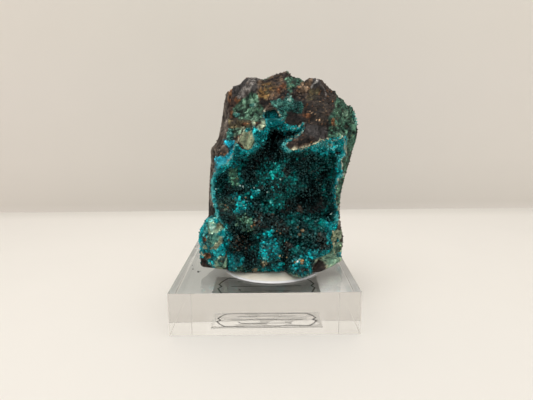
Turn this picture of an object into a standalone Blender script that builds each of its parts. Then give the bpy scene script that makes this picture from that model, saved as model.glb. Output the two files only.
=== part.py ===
"""Dioptase specimen: a druse of green crystals in a vug of copper-stained rock, on a clear acrylic base.

+Z is up, the origin is the middle of the base's underside, and -Y is the side with the crystals.
Sizes below are in millimetres. Each mesh is scaled to metres when it is made.
"""

import math
import random

import bmesh
import bpy
from mathutils import Matrix, Vector, noise

MM = 0.001
SEED = 7
GAP = 0.3  # between neighbouring pieces

# Acrylic base, with a shallow recess under it for the paper label
BASE_SIDE = 50.0
BASE_HEIGHT = 11.7
BASE_BEVEL = 0.5
LABEL_SIZE = (32.0, 15.0)
LABEL_THICKNESS = 0.25
LABEL_CENTRE = (0.5, -11.2)
RECESS_DEPTH = 0.6

# Round seat and the mounting putty pressed flat over it
SEAT_CENTRE = (2.5, -4.7)
SEAT_RADIUS = 14.3
SEAT_THICKNESS = 0.3
SEAT_SEGMENTS = 48
PUTTY_RADIUS = 13.7
PUTTY_THICKNESS = 0.3
PUTTY_SEGMENTS = 36
RIM_ANGLE = 40.0  # degrees: edges sharper than this stay sharp

# Rock: edges of its sides and its top line, each as (height, x) or (x, height) knots
FOOT_Z = 13.3
PEAK_Z = 68.7
FOOT_BAND = 0.7  # what lies this little above the foot is brought down to it
FOOT_BLEND = 3.0  # height over which the roughness sets in above the foot
LEFT_FRONT = ((13, -19.5), (17, -19.5), (21, -19.8), (24.5, -19.0), (28, -14.7), (37, -14.7), (41, -13.4),
              (45, -13.1), (48.5, -11.2), (52, -9.9), (63, -9.6), (69, -8.8))
LEFT_MIDDLE = ((13, -20.0), (21, -20.3), (25.5, -18.9), (28.5, -17.0), (32, -16.7), (38, -15.8), (42, -15.5),
               (45.6, -15.7), (48.6, -15.3), (50.5, -13.8), (52.5, -12.6), (58.5, -11.7), (63, -11.7),
               (69, -9.2))
RIGHT_FRONT = ((13, 18.6), (18, 20.8), (23.5, 22.6), (29, 21.3), (34, 19.9), (38, 20.4), (41, 22.5),
               (46.5, 22.8), (50.5, 21.2), (53, 18.4), (57, 18.5), (63, 20.2), (69, 16.0))
RIGHT_MIDDLE = ((13, 24.9), (18, 24.7), (24, 22.8), (31, 21.3), (35, 22.3), (38, 23.0), (40, 24.2),
                (43, 25.0), (46, 25.6), (49, 28.1), (51, 28.9), (53, 28.3), (57, 28.8), (60, 29.7),
                (62, 29.2), (64, 26.6), (69, 21.0))
TOP_LINE = ((-14, 62.6), (-11.0, 62.6), (-9.3, 62.2), (-6.6, 63.7), (-5, 65.3), (-3.4, 66.8), (-2.0, 68.1),
            (0.5, 68.1), (3.8, 68.7), (6.0, 69.4), (6.9, 69.9), (7.8, 67.4), (9.5, 66.4), (11, 65.6),
            (12.4, 65.9), (15, 67.2), (17.4, 66.9), (19.3, 64.8), (21, 65.6), (22.4, 64.5), (24.4, 62.9),
            (26.6, 62.9), (30, 60.6))
FRONT_Y = -12.6
BACK_Y = 9.5
WIDEST = 0.55  # share of the depth at which the sides stand furthest out
BACK_TAPER = 4.5
BACK_ROUNDING = 3.0  # how far the back comes forward at its left and right ends
BACK_LEAN = (50.0, 68.0, 2.5)  # heights between which the back leans forward, and by how much
FRONT_LEAN = 0.42  # how far the front leans back for each millimetre above LEAN_FROM
LEAN_FROM = 51.0
SIDE_FALLS = ((1, 11.0, 24.0, 3.4), (-1, 9.0, 20.0, 2.6))  # side, where the fall starts and ends, its depth
UNDERCUT = (14.0, 24.0, 4.5)  # at the right foot: where it starts and ends, its depth
UNDERCUT_TOP = 24.0
UNDERCUT_FADE = 8.0
SQUEEZE_FROM = 52.0  # height above which the block is squeezed under its top line
TOP_FALL = 0.30  # how far the top falls for each millimetre behind the ridge
RIDGE_Y = -4.0
ROCK_CELLS = (22, 8, 24)
FACETS = 190
FACET_BOX = ((-22.0, 30.0), (-15.0, 12.0), (12.0, 70.0))
FACET_SLOPE = 0.5
FACET_CONE = 0.75
FACET_LIFT = -2.15
GRAIN = 0.5
GRAIN_SIZE = 2.3
SMOOTHING = 0.25
FRACTURE_FLATNESS = 0.9

# Flat fracture faces: a point on each and the way it faces
FRACTURES = (
    ((-8.0, -7.0, 62.0), (-0.45, -0.65, 0.62)),
    ((14.0, -9.4, 60.0), (0.10, -0.86, 0.50)),
    ((8.5, -5.2, 67.6), (0.15, -0.35, 0.92)),
    ((-15.5, 3.0, 30.0), (-0.97, 0.22, -0.05)),
    ((-13.0, 6.5, 52.0), (-0.70, 0.62, 0.35)),
    ((23.5, 6.0, 48.0), (0.78, 0.60, 0.15)),
    ((4.0, 7.5, 60.0), (-0.10, 0.80, 0.60)),
    ((6.0, 9.2, 38.0), (0.12, 0.99, 0.05)),
    ((16.0, 7.6, 22.0), (0.35, 0.90, -0.25)),
    ((23.0, -6.0, 15.5), (0.66, -0.70, -0.25)),
)

# Rounded knobs on the rock's front: x, height, radius, how far each stands out
NODULES = (
    (-4.5, 50.4, 2.4, 1.3),
    (-13.4, 24.4, 3.9, 1.9),
    (-12.6, 16.4, 2.4, 0.8),
    (19.4, 23.0, 1.9, 1.0),
    (16.2, 14.6, 2.6, 0.9),
    (-2.0, 58.0, 4.5, 0.9),
)
NODULE_FLATTENING = 1.6

# Vug: its rim as (x, height), from the left of its top, clockwise
VUG_RIM = (
    (-9.6, 45.4), (-6.4, 47.4), (-3.6, 47.5), (-1.9, 50.2), (-0.2, 52.8), (2.4, 54.3), (5.4, 53.6),
    (7.4, 51.2), (6.0, 48.9), (7.3, 47.1), (13.0, 48.6), (17.0, 49.9), (21.2, 49.9), (21.6, 47.0),
    (20.4, 44.5), (21.1, 41.6), (19.7, 39.0), (20.0, 33.4), (20.3, 27.0), (18.4, 21.5), (15.6, 17.4),
    (13.2, 13.9), (10.6, 13.2), (8.2, 13.25), (6.2, 15.0), (4.6, 14.6), (2.8, 13.35), (-3.0, 13.45),
    (-9.4, 13.6), (-9.6, 19.0), (-10.6, 25.8), (-12.8, 29.4), (-13.2, 33.0), (-13.3, 37.6), (-12.1, 44.8),
)
WALL_WIDTH = 3.4
WALL_FROM = -0.2  # distance inside the rim at which the wall starts
NO_WALL_BELOW = 19.0  # under this height the druse runs off the foot with no wall
VUG_DEPTH = 6.4
SHELF_DEPTH = -0.4
SHELF_LINE = ((-12.0, 33.0), (-4.0, 32.0), (3.0, 27.5), (10.0, 27.0), (19.0, 23.5))  # x, height of its edge
SHELF_STEP = 6.5  # height over which the shelf gives way to the hollow

# Recesses (+) and mounds (-) of the druse: x, height, half width, half height, depth
SWELLS = (
    (3.6, 50.2, 3.6, 3.8, 3.4),
    (12.4, 33.6, 5.4, 3.8, 2.6),
    (-1.5, 42.5, 3.0, 3.0, 1.4),
    (4.2, 37.2, 6.2, 6.6, -3.9),
    (-7.8, 35.6, 4.2, 5.0, -2.9),
    (14.5, 42.5, 5.0, 3.6, -1.4),
    (-5.2, 21.6, 4.2, 4.0, 2.8),
    (2.2, 19.2, 3.8, 3.4, -2.8),
    (10.0, 15.0, 4.0, 4.4, -5.8),
    (5.6, 16.6, 1.5, 3.6, 2.4),
    (-8.0, 15.6, 3.0, 2.4, -1.2),
    (14.5, 25.0, 4.5, 3.0, -1.6),
    (0.0, 27.5, 6.0, 2.6, -1.3),
)
CRUST_THICKNESS = 2.6
CRUST_BITE = 1.4  # least depth of the crust's back behind the rock's front
LUMP_HEIGHT = 0.55
LUMP_SIZE = 3.2
LUMP_SHARPNESS = 1.6
LUMP_FADE = 2.0  # distance inside the rim over which the lumps grow
FINE_CELL = 1.7
COARSE_CELL = 2.2
STEEPEST = 0.25  # share of an offset's direction that a wall takes along Y, at least
RELIEF_X = (-17.0, 25.0)
RELIEF_Z = (8.0, 58.0)
FAR = 45.0  # beyond the rock in front and behind
PRISM_REACH = 40.0

# Dioptase crystals: six-sided prisms with three-faced tips
CRYSTALS = 100
CRYSTAL_SPACING = 2.5
CRYSTAL_RADIUS = (0.62, 1.15)
CRYSTAL_RIM_MARGIN = 1.5
CRYSTAL_LENGTH = 3.0  # in radii, as are the next two
TIP_STEP = 0.34
CRYSTAL_LIFT = 0.1
CRYSTAL_TAPER = 0.96
CRYSTAL_SCATTER = 0.25
SLOPE_STEP = 0.6


def clamp(value, low=0.0, high=1.0):
    return max(low, min(high, value))


def lerp(a, b, t):
    return a + (b - a) * t


def smooth_step(value, low=0.0, high=1.0):
    t = clamp((value - low) / (high - low))
    return t * t * (3 - 2 * t)


def along(profile, at):
    """The value of a profile of knots at a place, on straight runs between the knots."""
    for (x0, y0), (x1, y1) in zip(profile, profile[1:]):
        if at <= x1:
            return lerp(y0, y1, clamp((at - x0) / (x1 - x0)))
    return profile[-1][1]


def clear_scene():
    for obj in list(bpy.data.objects):
        bpy.data.objects.remove(obj)


def new_collection(name):
    collection = bpy.data.collections.new(name)
    bpy.context.scene.collection.children.link(collection)
    return collection


def material(name, colour, roughness, transmission=0.0, ior=1.5):
    made = bpy.data.materials.new(name)
    made.use_nodes = True
    shader = made.node_tree.nodes["Principled BSDF"]
    shader.inputs["Base Color"].default_value = (*colour, 1.0)
    shader.inputs["Roughness"].default_value = roughness
    shader.inputs["Metallic"].default_value = 0.0
    shader.inputs["Transmission Weight"].default_value = transmission
    shader.inputs["IOR"].default_value = ior
    return made


def clear_acrylic():
    return material("clear_acrylic", (0.93, 0.94, 0.93), 0.04, transmission=1.0, ior=1.49)


def cream_putty():
    return material("cream_putty", (0.78, 0.73, 0.62), 0.6)


def label_paper():
    return material("label_paper", (0.85, 0.83, 0.78), 0.7)


def gossan_rock():
    return material("gossan_rock", (0.15, 0.09, 0.06), 0.8)


def dioptase_green():
    return material("dioptase_green", (0.0, 0.22, 0.21), 0.15)


def mesh_object(name, bm, collection, look=None):
    """An object in metres from a mesh in millimetres."""
    bmesh.ops.scale(bm, vec=(MM, MM, MM), verts=bm.verts)
    bmesh.ops.recalc_face_normals(bm, faces=bm.faces)
    mesh = bpy.data.meshes.new(name)
    bm.to_mesh(mesh)
    bm.free()
    obj = bpy.data.objects.new(name, mesh)
    collection.objects.link(obj)
    if look:
        mesh.materials.append(look)
    return obj


def as_cutter(obj):
    obj.hide_render = True
    obj.display_type = "WIRE"
    return obj


def boolean(obj, operation, other):
    modifier = obj.modifiers.new(f"{operation.lower()}_{other.name}", "BOOLEAN")
    modifier.operation = operation
    modifier.object = other
    modifier.solver = "EXACT"


def box_mesh(size, centre):
    bm = bmesh.new()
    bmesh.ops.create_cube(bm, size=1.0)
    bmesh.ops.scale(bm, vec=size, verts=bm.verts)
    bmesh.ops.translate(bm, vec=centre, verts=bm.verts)
    return bm


def disc_mesh(radius, thickness, centre, segments):
    bm = bmesh.new()
    bmesh.ops.create_cone(
        bm, cap_ends=True, segments=segments, radius1=radius, radius2=radius, depth=thickness
    )
    bmesh.ops.translate(bm, vec=centre, verts=bm.verts)
    return bm


def round_shading(obj):
    obj.data.shade_smooth()
    obj.data.set_sharp_from_angle(angle=math.radians(RIM_ANGLE))


def make_base(parts, cutters):
    size = (BASE_SIDE, BASE_SIDE, BASE_HEIGHT)
    base = mesh_object("acrylic_base", box_mesh(size, (0, 0, BASE_HEIGHT / 2)), parts, clear_acrylic())
    bevel = base.modifiers.new("polished_edges", "BEVEL")
    bevel.width = BASE_BEVEL * MM
    bevel.segments = 2
    recess = (LABEL_SIZE[0] + 2 * GAP, LABEL_SIZE[1] + 2 * GAP, 2 * RECESS_DEPTH)
    cutter = mesh_object("label_recess", box_mesh(recess, (*LABEL_CENTRE, 0)), cutters)
    boolean(base, "DIFFERENCE", as_cutter(cutter))


def make_label(parts):
    middle = RECESS_DEPTH - GAP - LABEL_THICKNESS / 2
    size = (*LABEL_SIZE, LABEL_THICKNESS)
    mesh_object("label_slip", box_mesh(size, (*LABEL_CENTRE, middle)), parts, label_paper())


def make_seat(parts):
    middle = BASE_HEIGHT + GAP + SEAT_THICKNESS / 2
    disc = disc_mesh(SEAT_RADIUS, SEAT_THICKNESS, (*SEAT_CENTRE, middle), SEAT_SEGMENTS)
    round_shading(mesh_object("seat_disc", disc, parts, clear_acrylic()))


def make_putty(parts):
    middle = BASE_HEIGHT + 2 * GAP + SEAT_THICKNESS + PUTTY_THICKNESS / 2
    disc = disc_mesh(PUTTY_RADIUS, PUTTY_THICKNESS, (*SEAT_CENTRE, middle), PUTTY_SEGMENTS)
    round_shading(mesh_object("mounting_putty", disc, parts, cream_putty()))


def front_plane(x, z):
    """Depth of the rock's front without its knobs. It leans back above and falls away at the sides."""
    y = FRONT_Y + FRONT_LEAN * max(0.0, z - LEAN_FROM)
    for way, start, end, fall in SIDE_FALLS:
        y += fall * smooth_step(way * x, start, end)
    start, end, depth = UNDERCUT
    return y + depth * smooth_step(x, start, end) * smooth_step(UNDERCUT_TOP - z, 0.0, UNDERCUT_FADE)


def rock_front(x, z):
    y = front_plane(x, z)
    for nodule_x, nodule_z, radius, out in NODULES:
        away = math.hypot(x - nodule_x, z - nodule_z) / radius
        y -= out * math.sqrt(max(0.0, 1 - away * away / NODULE_FLATTENING))
    return y


def side(front, middle, inward, v):
    if v < WIDEST:
        return lerp(front, middle, v / WIDEST)
    return lerp(middle, middle + inward * BACK_TAPER, (v - WIDEST) / (1 - WIDEST))


def rock_point(u, v, w):
    """The rock's place for a point of the unit cube: u runs left to right, v front to back, w up."""
    z = lerp(FOOT_Z, PEAK_Z, w)
    left = side(along(LEFT_FRONT, z), along(LEFT_MIDDLE, z), 1, v)
    right = side(along(RIGHT_FRONT, z), along(RIGHT_MIDDLE, z), -1, v)
    x = lerp(left, right, u)
    lean_from, lean_to, lean = BACK_LEAN
    back = BACK_Y - BACK_ROUNDING * (2 * u - 1) ** 2 - lean * smooth_step(z, lean_from, lean_to)
    y = lerp(rock_front(x, z), back, v)
    top = along(TOP_LINE, x) - TOP_FALL * max(0.0, y - RIDGE_Y)
    if z > SQUEEZE_FROM:
        z = lerp(SQUEEZE_FROM, top, (z - SQUEEZE_FROM) / (PEAK_Z - SQUEEZE_FROM))
    return Vector((x, y, z))


def facet_cells(rng):
    """Centres and tilts of the small planes that the rock breaks into."""
    cells = []
    for _ in range(FACETS):
        centre = Vector([rng.uniform(low, high) for low, high in FACET_BOX])
        tilt = Vector((rng.gauss(0, 1), rng.gauss(0, 1), rng.gauss(0, 1))).normalized()
        cells.append((centre, tilt * FACET_SLOPE))
    return cells


def facet_height(point, cells):
    return min((point - centre).dot(tilt) + FACET_CONE * (point - centre).length for centre, tilt in cells)


def roughen(bm, cells):
    """Moves the rock's points along their normals onto small facets, and leaves the foot flat."""
    bm.normal_update()
    moves = []
    for vert in bm.verts:
        p = vert.co
        height = facet_height(p, cells) + FACET_LIFT
        height += GRAIN * noise.noise(p / GRAIN_SIZE)
        moves.append(vert.normal * (height * smooth_step(p.z, FOOT_Z, FOOT_Z + FOOT_BLEND)))
    for vert, move in zip(bm.verts, moves):
        vert.co += move


def break_flat(bm, point, facing):
    """Brings what lies beyond a fracture face back onto it, but for a trace of its roughness."""
    facing = Vector(facing).normalized()
    for vert in bm.verts:
        beyond = (vert.co - Vector(point)).dot(facing)
        if beyond > 0:
            vert.co -= facing * beyond * FRACTURE_FLATNESS


def make_rock(parts, cutters):
    bm = bmesh.new()
    bmesh.ops.create_cube(bm, size=1.0)
    wide, deep, high = ROCK_CELLS
    for axis, cells in ((0, wide), (1, deep), (2, high)):
        for step in range(1, cells):
            place = [0.0, 0.0, 0.0]
            place[axis] = step / cells - 0.5
            normal = [0.0, 0.0, 0.0]
            normal[axis] = 1.0
            bmesh.ops.bisect_plane(
                bm, geom=bm.verts[:] + bm.edges[:] + bm.faces[:], plane_co=place, plane_no=normal
            )
    for vert in bm.verts:
        vert.co = rock_point(vert.co.x + 0.5, vert.co.y + 0.5, vert.co.z + 0.5)
    bmesh.ops.smooth_vert(
        bm, verts=bm.verts, factor=SMOOTHING, use_axis_x=True, use_axis_y=True, use_axis_z=True
    )
    for vert in bm.verts:
        if vert.co.z < FOOT_Z + FOOT_BAND:
            vert.co.z = FOOT_Z
    rng = random.Random(SEED)
    roughen(bm, facet_cells(rng))
    for point, facing in FRACTURES:
        break_flat(bm, point, facing)
    bmesh.ops.triangulate(bm, faces=bm.faces)
    rock = mesh_object("matrix_rock", bm, parts, gossan_rock())
    boolean(rock, "DIFFERENCE", make_vug_cutter(cutters))


def rim_distance(x, z):
    """How far (x, z) lies inside the vug's rim. It is negative outside."""
    inside = False
    nearest = FAR
    for (x0, z0), (x1, z1) in zip(VUG_RIM, VUG_RIM[1:] + VUG_RIM[:1]):
        if (z0 > z) != (z1 > z) and x < x0 + (z - z0) * (x1 - x0) / (z1 - z0):
            inside = not inside
        run = Vector((x1 - x0, z1 - z0))
        t = clamp(Vector((x - x0, z - z0)).dot(run) / run.length_squared)
        nearest = min(nearest, math.hypot(x - x0 - t * run.x, z - z0 - t * run.y))
    return nearest if inside else -nearest


def druse_form(x, z):
    """Depth of the druse's large forms: a shelf below, a hollow above, and their swells."""
    above_shelf = z - along(SHELF_LINE, x)
    depth = lerp(SHELF_DEPTH, VUG_DEPTH, smooth_step(above_shelf, -0.5 * SHELF_STEP, 0.5 * SHELF_STEP))
    for swell_x, swell_z, half_wide, half_high, swell in SWELLS:
        away = ((x - swell_x) / half_wide) ** 2 + ((z - swell_z) / half_high) ** 2
        depth += swell * math.exp(-away)
    wall = smooth_step(rim_distance(x, max(z, NO_WALL_BELOW)), WALL_FROM, WALL_WIDTH)
    return front_plane(x, z) + depth * wall


def druse_front(x, z):
    """Depth of the druse's surface, with its rounded lumps."""
    cells = noise.voronoi(Vector((x, z, 0.0)) / LUMP_SIZE)[0]
    lump = LUMP_HEIGHT * (1 - LUMP_SHARPNESS * cells[0])
    return druse_form(x, z) - lump * smooth_step(rim_distance(x, z), 0.0, LUMP_FADE)


def crust_back(x, z):
    return max(druse_form(x, z) + CRUST_THICKNESS, front_plane(x, z) + CRUST_BITE)


def relief_solid(name, depth_at, cell, offset, far_y, cutters):
    """A solid between a relief over the XZ plane, which lies back by offset, and the plane at far_y."""
    columns = round((RELIEF_X[1] - RELIEF_X[0]) / cell)
    rows = round((RELIEF_Z[1] - RELIEF_Z[0]) / cell)
    bm = bmesh.new()
    bmesh.ops.create_grid(bm, x_segments=columns, y_segments=rows, size=0.5)
    for vert in bm.verts:
        x = lerp(*RELIEF_X, vert.co.x + 0.5)
        z = lerp(*RELIEF_Z, vert.co.y + 0.5)
        vert.co = Vector((x, depth_at(x, z), z))
    bm.normal_update()
    for vert in bm.verts:
        vert.co.y += offset / max(STEEPEST, abs(vert.normal.y))
    bmesh.ops.triangulate(bm, faces=bm.faces, quad_method="FIXED")
    walls = bmesh.ops.extrude_face_region(bm, geom=bm.faces[:])
    for item in walls["geom"]:
        if isinstance(item, bmesh.types.BMVert):
            item.co.y = far_y
    return mesh_object(name, bm, cutters)


def rim_prism(name, outward, cutters):
    """The vug's rim drawn through the rock from front to back, grown outward."""
    curve = bpy.data.curves.new(name, "CURVE")
    curve.dimensions = "2D"
    curve.fill_mode = "BOTH"
    curve.extrude = PRISM_REACH * MM
    spline = curve.splines.new("POLY")
    spline.use_cyclic_u = True
    spline.points.add(len(VUG_RIM) - 1)
    count = len(VUG_RIM)
    for index, point in enumerate(spline.points):
        before = Vector(VUG_RIM[index - 1])
        here = Vector(VUG_RIM[index])
        after = Vector(VUG_RIM[(index + 1) % count])
        normals = [Vector((-(b - a).y, (b - a).x)).normalized() for a, b in ((before, here), (here, after))]
        bisector = (normals[0] + normals[1]).normalized()
        moved = here + bisector * (outward / max(0.4, bisector.dot(normals[0])))
        point.co = (moved.x * MM, moved.y * MM, 0.0, 1.0)
    guide = bpy.data.objects.new(name + "_guide", curve)
    cutters.objects.link(guide)
    graph = bpy.context.evaluated_depsgraph_get()
    mesh = bpy.data.meshes.new_from_object(guide.evaluated_get(graph))
    bpy.data.objects.remove(guide)
    bm = bmesh.new()
    bm.from_mesh(mesh)
    bmesh.ops.remove_doubles(bm, verts=bm.verts, dist=0.00001)
    bmesh.ops.rotate(bm, verts=bm.verts, matrix=Matrix.Rotation(math.radians(90), 3, "X"))
    bmesh.ops.scale(bm, vec=(1 / MM, 1 / MM, 1 / MM), verts=bm.verts)
    return mesh_object(name, bm, cutters)


def make_vug_cutter(cutters):
    cutter = relief_solid("vug_cutter", crust_back, COARSE_CELL, GAP, -FAR, cutters)
    boolean(cutter, "INTERSECT", as_cutter(rim_prism("vug_prism", GAP, cutters)))
    return as_cutter(cutter)


def surface_normal(x, z):
    slope_x = (druse_form(x + SLOPE_STEP, z) - druse_form(x - SLOPE_STEP, z)) / (2 * SLOPE_STEP)
    slope_z = (druse_form(x, z + SLOPE_STEP) - druse_form(x, z - SLOPE_STEP)) / (2 * SLOPE_STEP)
    return Vector((slope_x, -1.0, slope_z)).normalized()


def add_crystal(bm, foot, direction, radius, turn):
    """A six-sided prism that ends in three rhombic faces."""
    made = bmesh.ops.create_cone(
        bm,
        cap_ends=True,
        cap_tris=True,
        segments=6,
        radius1=radius,
        radius2=radius * CRYSTAL_TAPER,
        depth=radius * CRYSTAL_LENGTH,
    )
    step = radius * TIP_STEP
    ring = [vert for vert in made["verts"] if vert.co.z > 0 and vert.co.xy.length > radius / 2]
    ring.sort(key=lambda vert: math.atan2(vert.co.y, vert.co.x))
    for index, vert in enumerate(ring):
        vert.co.z -= 2 * step if index % 2 else step
    turned = direction.to_track_quat("Z", "Y").to_matrix() @ Matrix.Rotation(turn, 3, "Z")
    bmesh.ops.transform(bm, matrix=Matrix.Translation(foot) @ turned.to_4x4(), verts=made["verts"])


def make_crystals(cutters):
    rng = random.Random(SEED + 1)
    bm = bmesh.new()
    placed = []
    while len(placed) < CRYSTALS:
        x, z = rng.uniform(*RELIEF_X), rng.uniform(*RELIEF_Z)
        away = rim_distance(x, z)
        near = any(math.hypot(x - a, z - b) < CRYSTAL_SPACING for a, b in placed)
        if away < CRYSTAL_RIM_MARGIN or near:
            continue
        placed.append((x, z))
        radius = rng.uniform(*CRYSTAL_RADIUS)
        direction = surface_normal(x, z)
        direction += Vector([rng.gauss(0, CRYSTAL_SCATTER) for _ in range(3)])
        foot = Vector((x, druse_front(x, z), z)) + direction.normalized() * radius * CRYSTAL_LIFT
        add_crystal(bm, foot, direction.normalized(), radius, rng.uniform(0, math.pi))
    return mesh_object("dioptase_crystals", bm, cutters)


def make_crust(parts, cutters):
    crust = relief_solid("dioptase_crust", druse_front, FINE_CELL, 0.0, FAR, parts)
    crust.data.materials.append(dioptase_green())
    boolean(crust, "UNION", as_cutter(make_crystals(cutters)))
    boolean(crust, "INTERSECT", as_cutter(rim_prism("crust_prism", 0.0, cutters)))
    front = relief_solid("crust_front_side", crust_back, COARSE_CELL, 0.0, -FAR, cutters)
    boolean(crust, "INTERSECT", as_cutter(front))


def main():
    clear_scene()
    parts = new_collection("dioptase_specimen")
    cutters = new_collection("cutters")
    make_base(parts, cutters)
    make_label(parts)
    make_seat(parts)
    make_putty(parts)
    make_rock(parts, cutters)
    make_crust(parts, cutters)


main()
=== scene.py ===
"""Looks of the dioptase specimen: a druse in copper-stained gossan, on a clear acrylic base.

Lengths in this script are in millimetres unless a name says otherwise. Each mesh is scaled to metres.
"""

import math
import random

import bmesh
import bpy
import numpy as np
from mathutils import Matrix, Vector


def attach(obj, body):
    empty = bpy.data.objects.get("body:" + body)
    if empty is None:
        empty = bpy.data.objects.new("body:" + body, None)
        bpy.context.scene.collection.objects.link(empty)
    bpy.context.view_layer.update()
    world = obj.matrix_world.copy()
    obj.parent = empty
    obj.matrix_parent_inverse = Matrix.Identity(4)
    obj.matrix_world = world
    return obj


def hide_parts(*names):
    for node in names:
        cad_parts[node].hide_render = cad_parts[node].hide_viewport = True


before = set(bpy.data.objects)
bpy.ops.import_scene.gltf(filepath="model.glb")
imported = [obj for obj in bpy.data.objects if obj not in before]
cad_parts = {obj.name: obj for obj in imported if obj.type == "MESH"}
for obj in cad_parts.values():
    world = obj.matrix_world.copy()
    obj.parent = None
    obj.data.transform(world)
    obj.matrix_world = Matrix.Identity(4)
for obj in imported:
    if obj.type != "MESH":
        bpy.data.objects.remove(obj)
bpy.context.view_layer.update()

MM = 0.001
SEED = 11

# Camera, fitted to the photo's view of the base
CAMERA_AT = (0.5132, -126.838, 54.436)
PITCH, YAW, ROLL = 10.294, -0.1139, -0.5132  # degrees
FOCAL_PX = 420.0
IMAGE_SIZE = (533, 400)

BASE_SIDE = 50.0
BASE_HEIGHT = 11.7
LARGE_FACE = 100.0
SEAT_CENTRE = (2.5, -4.7)
SEAT_RADIUS = 14.3
LABEL_CENTRE = (0.5, -11.2)
LABEL_SIZE = (30.4, 14.4)
INK_Z = 0.1
AIR_UNDER_ACRYLIC = 0.8
FRONT_Y = -12.6

# The vug's form, as in the solid model: rim, shelf and swells over (x, z)
FRONT_LEAN = 0.42
LEAN_FROM = 51.0
SIDE_FALLS = ((1, 11.0, 24.0, 3.4), (-1, 9.0, 20.0, 2.6))
UNDERCUT = (14.0, 24.0, 4.5)
UNDERCUT_TOP = 24.0
UNDERCUT_FADE = 8.0
VUG_RIM = (
    (-9.6, 45.4), (-6.4, 47.4), (-3.6, 47.5), (-1.9, 50.2), (-0.2, 52.8), (2.4, 54.3), (5.4, 53.6),
    (7.4, 51.2), (6.0, 48.9), (7.3, 47.1), (13.0, 48.6), (17.0, 49.9), (21.2, 49.9), (21.6, 47.0),
    (20.4, 44.5), (21.1, 41.6), (19.7, 39.0), (20.0, 33.4), (20.3, 27.0), (18.4, 21.5), (15.6, 17.4),
    (13.2, 13.9), (10.6, 13.2), (8.2, 13.25), (6.2, 15.0), (4.6, 14.6), (2.8, 13.35), (-3.0, 13.45),
    (-9.4, 13.6), (-9.6, 19.0), (-10.6, 25.8), (-12.8, 29.4), (-13.2, 33.0), (-13.3, 37.6), (-12.1, 44.8),
)
RIM_PX = (
    (229, 271), (227, 262), (227, 252), (224, 246), (223, 238), (226, 230), (222, 223), (217, 217), (216, 211),
    (213, 200), (210.5, 189), (211.5, 180), (216, 171), (222, 165.5), (228, 163), (232, 158), (233.6, 150),
    (236, 144), (241, 149), (247, 151), (252, 149.5), (255.5, 142), (254, 134), (257, 130), (262, 131.5),
    (266, 128), (265, 121), (263.5, 115), (266, 110.5), (272, 108.5), (277, 110), (281, 117), (284.5, 122.5),
    (288, 126), (293, 129.5), (299, 128.5), (302.5, 124), (304, 127), (300.5, 135), (294, 139), (288, 142),
    (284, 145.5), (288, 149.5), (299, 149.5), (310.5, 146), (317, 142.5), (326.6, 138), (330, 141.5),
    (338, 139), (344, 137.5), (345, 147), (345, 154), (340, 160), (341.5, 169), (344, 174), (338, 179.5),
    (336, 188), (336, 200), (338, 207), (338.5, 220), (337, 230), (331, 231), (330, 238), (333, 246),
    (330, 252), (322, 255), (314, 257), (310, 264), (312, 272), (306, 279), (296, 279), (290, 273),
    (285, 271), (280, 272), (272, 275), (258, 274), (243, 273),
)
WALL_WIDTH = 3.0
NO_WALL_BELOW = 19.0
VUG_DEPTH = 6.4
SHELF_DEPTH = -0.4
SHELF_LINE = ((-12.0, 33.0), (-4.0, 32.0), (3.0, 27.5), (10.0, 27.0), (19.0, 23.5))
SHELF_STEP = 6.5
SWELLS = (
    (3.6, 50.2, 3.6, 3.8, 3.4),
    (12.4, 33.6, 5.4, 3.8, 2.6),
    (-1.5, 42.5, 3.0, 3.0, 1.4),
    (4.2, 37.2, 6.2, 6.6, -3.9),
    (-7.8, 35.6, 4.2, 5.0, -2.9),
    (14.5, 42.5, 5.0, 3.6, -1.4),
    (-5.2, 21.6, 4.2, 4.0, 2.8),
    (2.2, 19.2, 3.8, 3.4, -2.8),
    (10.0, 15.0, 4.0, 4.4, -5.8),
    (5.6, 16.6, 1.5, 3.6, 2.4),
    (-8.0, 15.6, 3.0, 2.4, -1.2),
    (14.5, 25.0, 4.5, 3.0, -1.6),
    (0.0, 27.5, 6.0, 2.6, -1.3),
)

# Smaller forms of the druse, in the photo's pixels: x, y, half width, half height, depth in mm
SWELLS_PX = (
    (277, 139, 8, 11, 4.5), (260, 156, 7, 11, 1.8), (249, 168, 8, 7, 1.4), (306, 204, 18, 8, 2.4),
    (272, 219, 22, 5, 2.2), (243, 239, 11, 9, 1.8), (284, 233, 8, 8, 1.8), (285, 259, 4.5, 8, 2.0),
    (272, 184, 13, 17, -1.0), (247, 203, 12, 8, -0.9), (270, 246, 11, 8, -1.4), (233, 178, 8, 9, -0.6),
    (316, 176, 12, 12, 1.2), (294, 132, 6, 4, 1.6), (322, 226, 10, 7, -0.8), (248, 222, 11, 5, -1.2),
    (236, 262, 7, 6, -0.5), (306, 240, 14, 5, 1.2), (320, 241, 6, 7, 1.0), (262, 198, 5, 5, 0.5),
    (290, 172, 5, 6, -0.9), (326, 204, 5, 6, -1.0), (273, 117, 11, 9, -6.4), (257, 138, 7, 10, -6.0),
    (246, 153, 8, 5, -2.5), (330, 146, 15, 6, -5.5), (222, 176, 6, 10, -1.5), (292, 133, 4, 3, 1.5),
    (228, 236, 5, 14, -2.0), (276, 137, 8, 8, 2.5),
)
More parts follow.
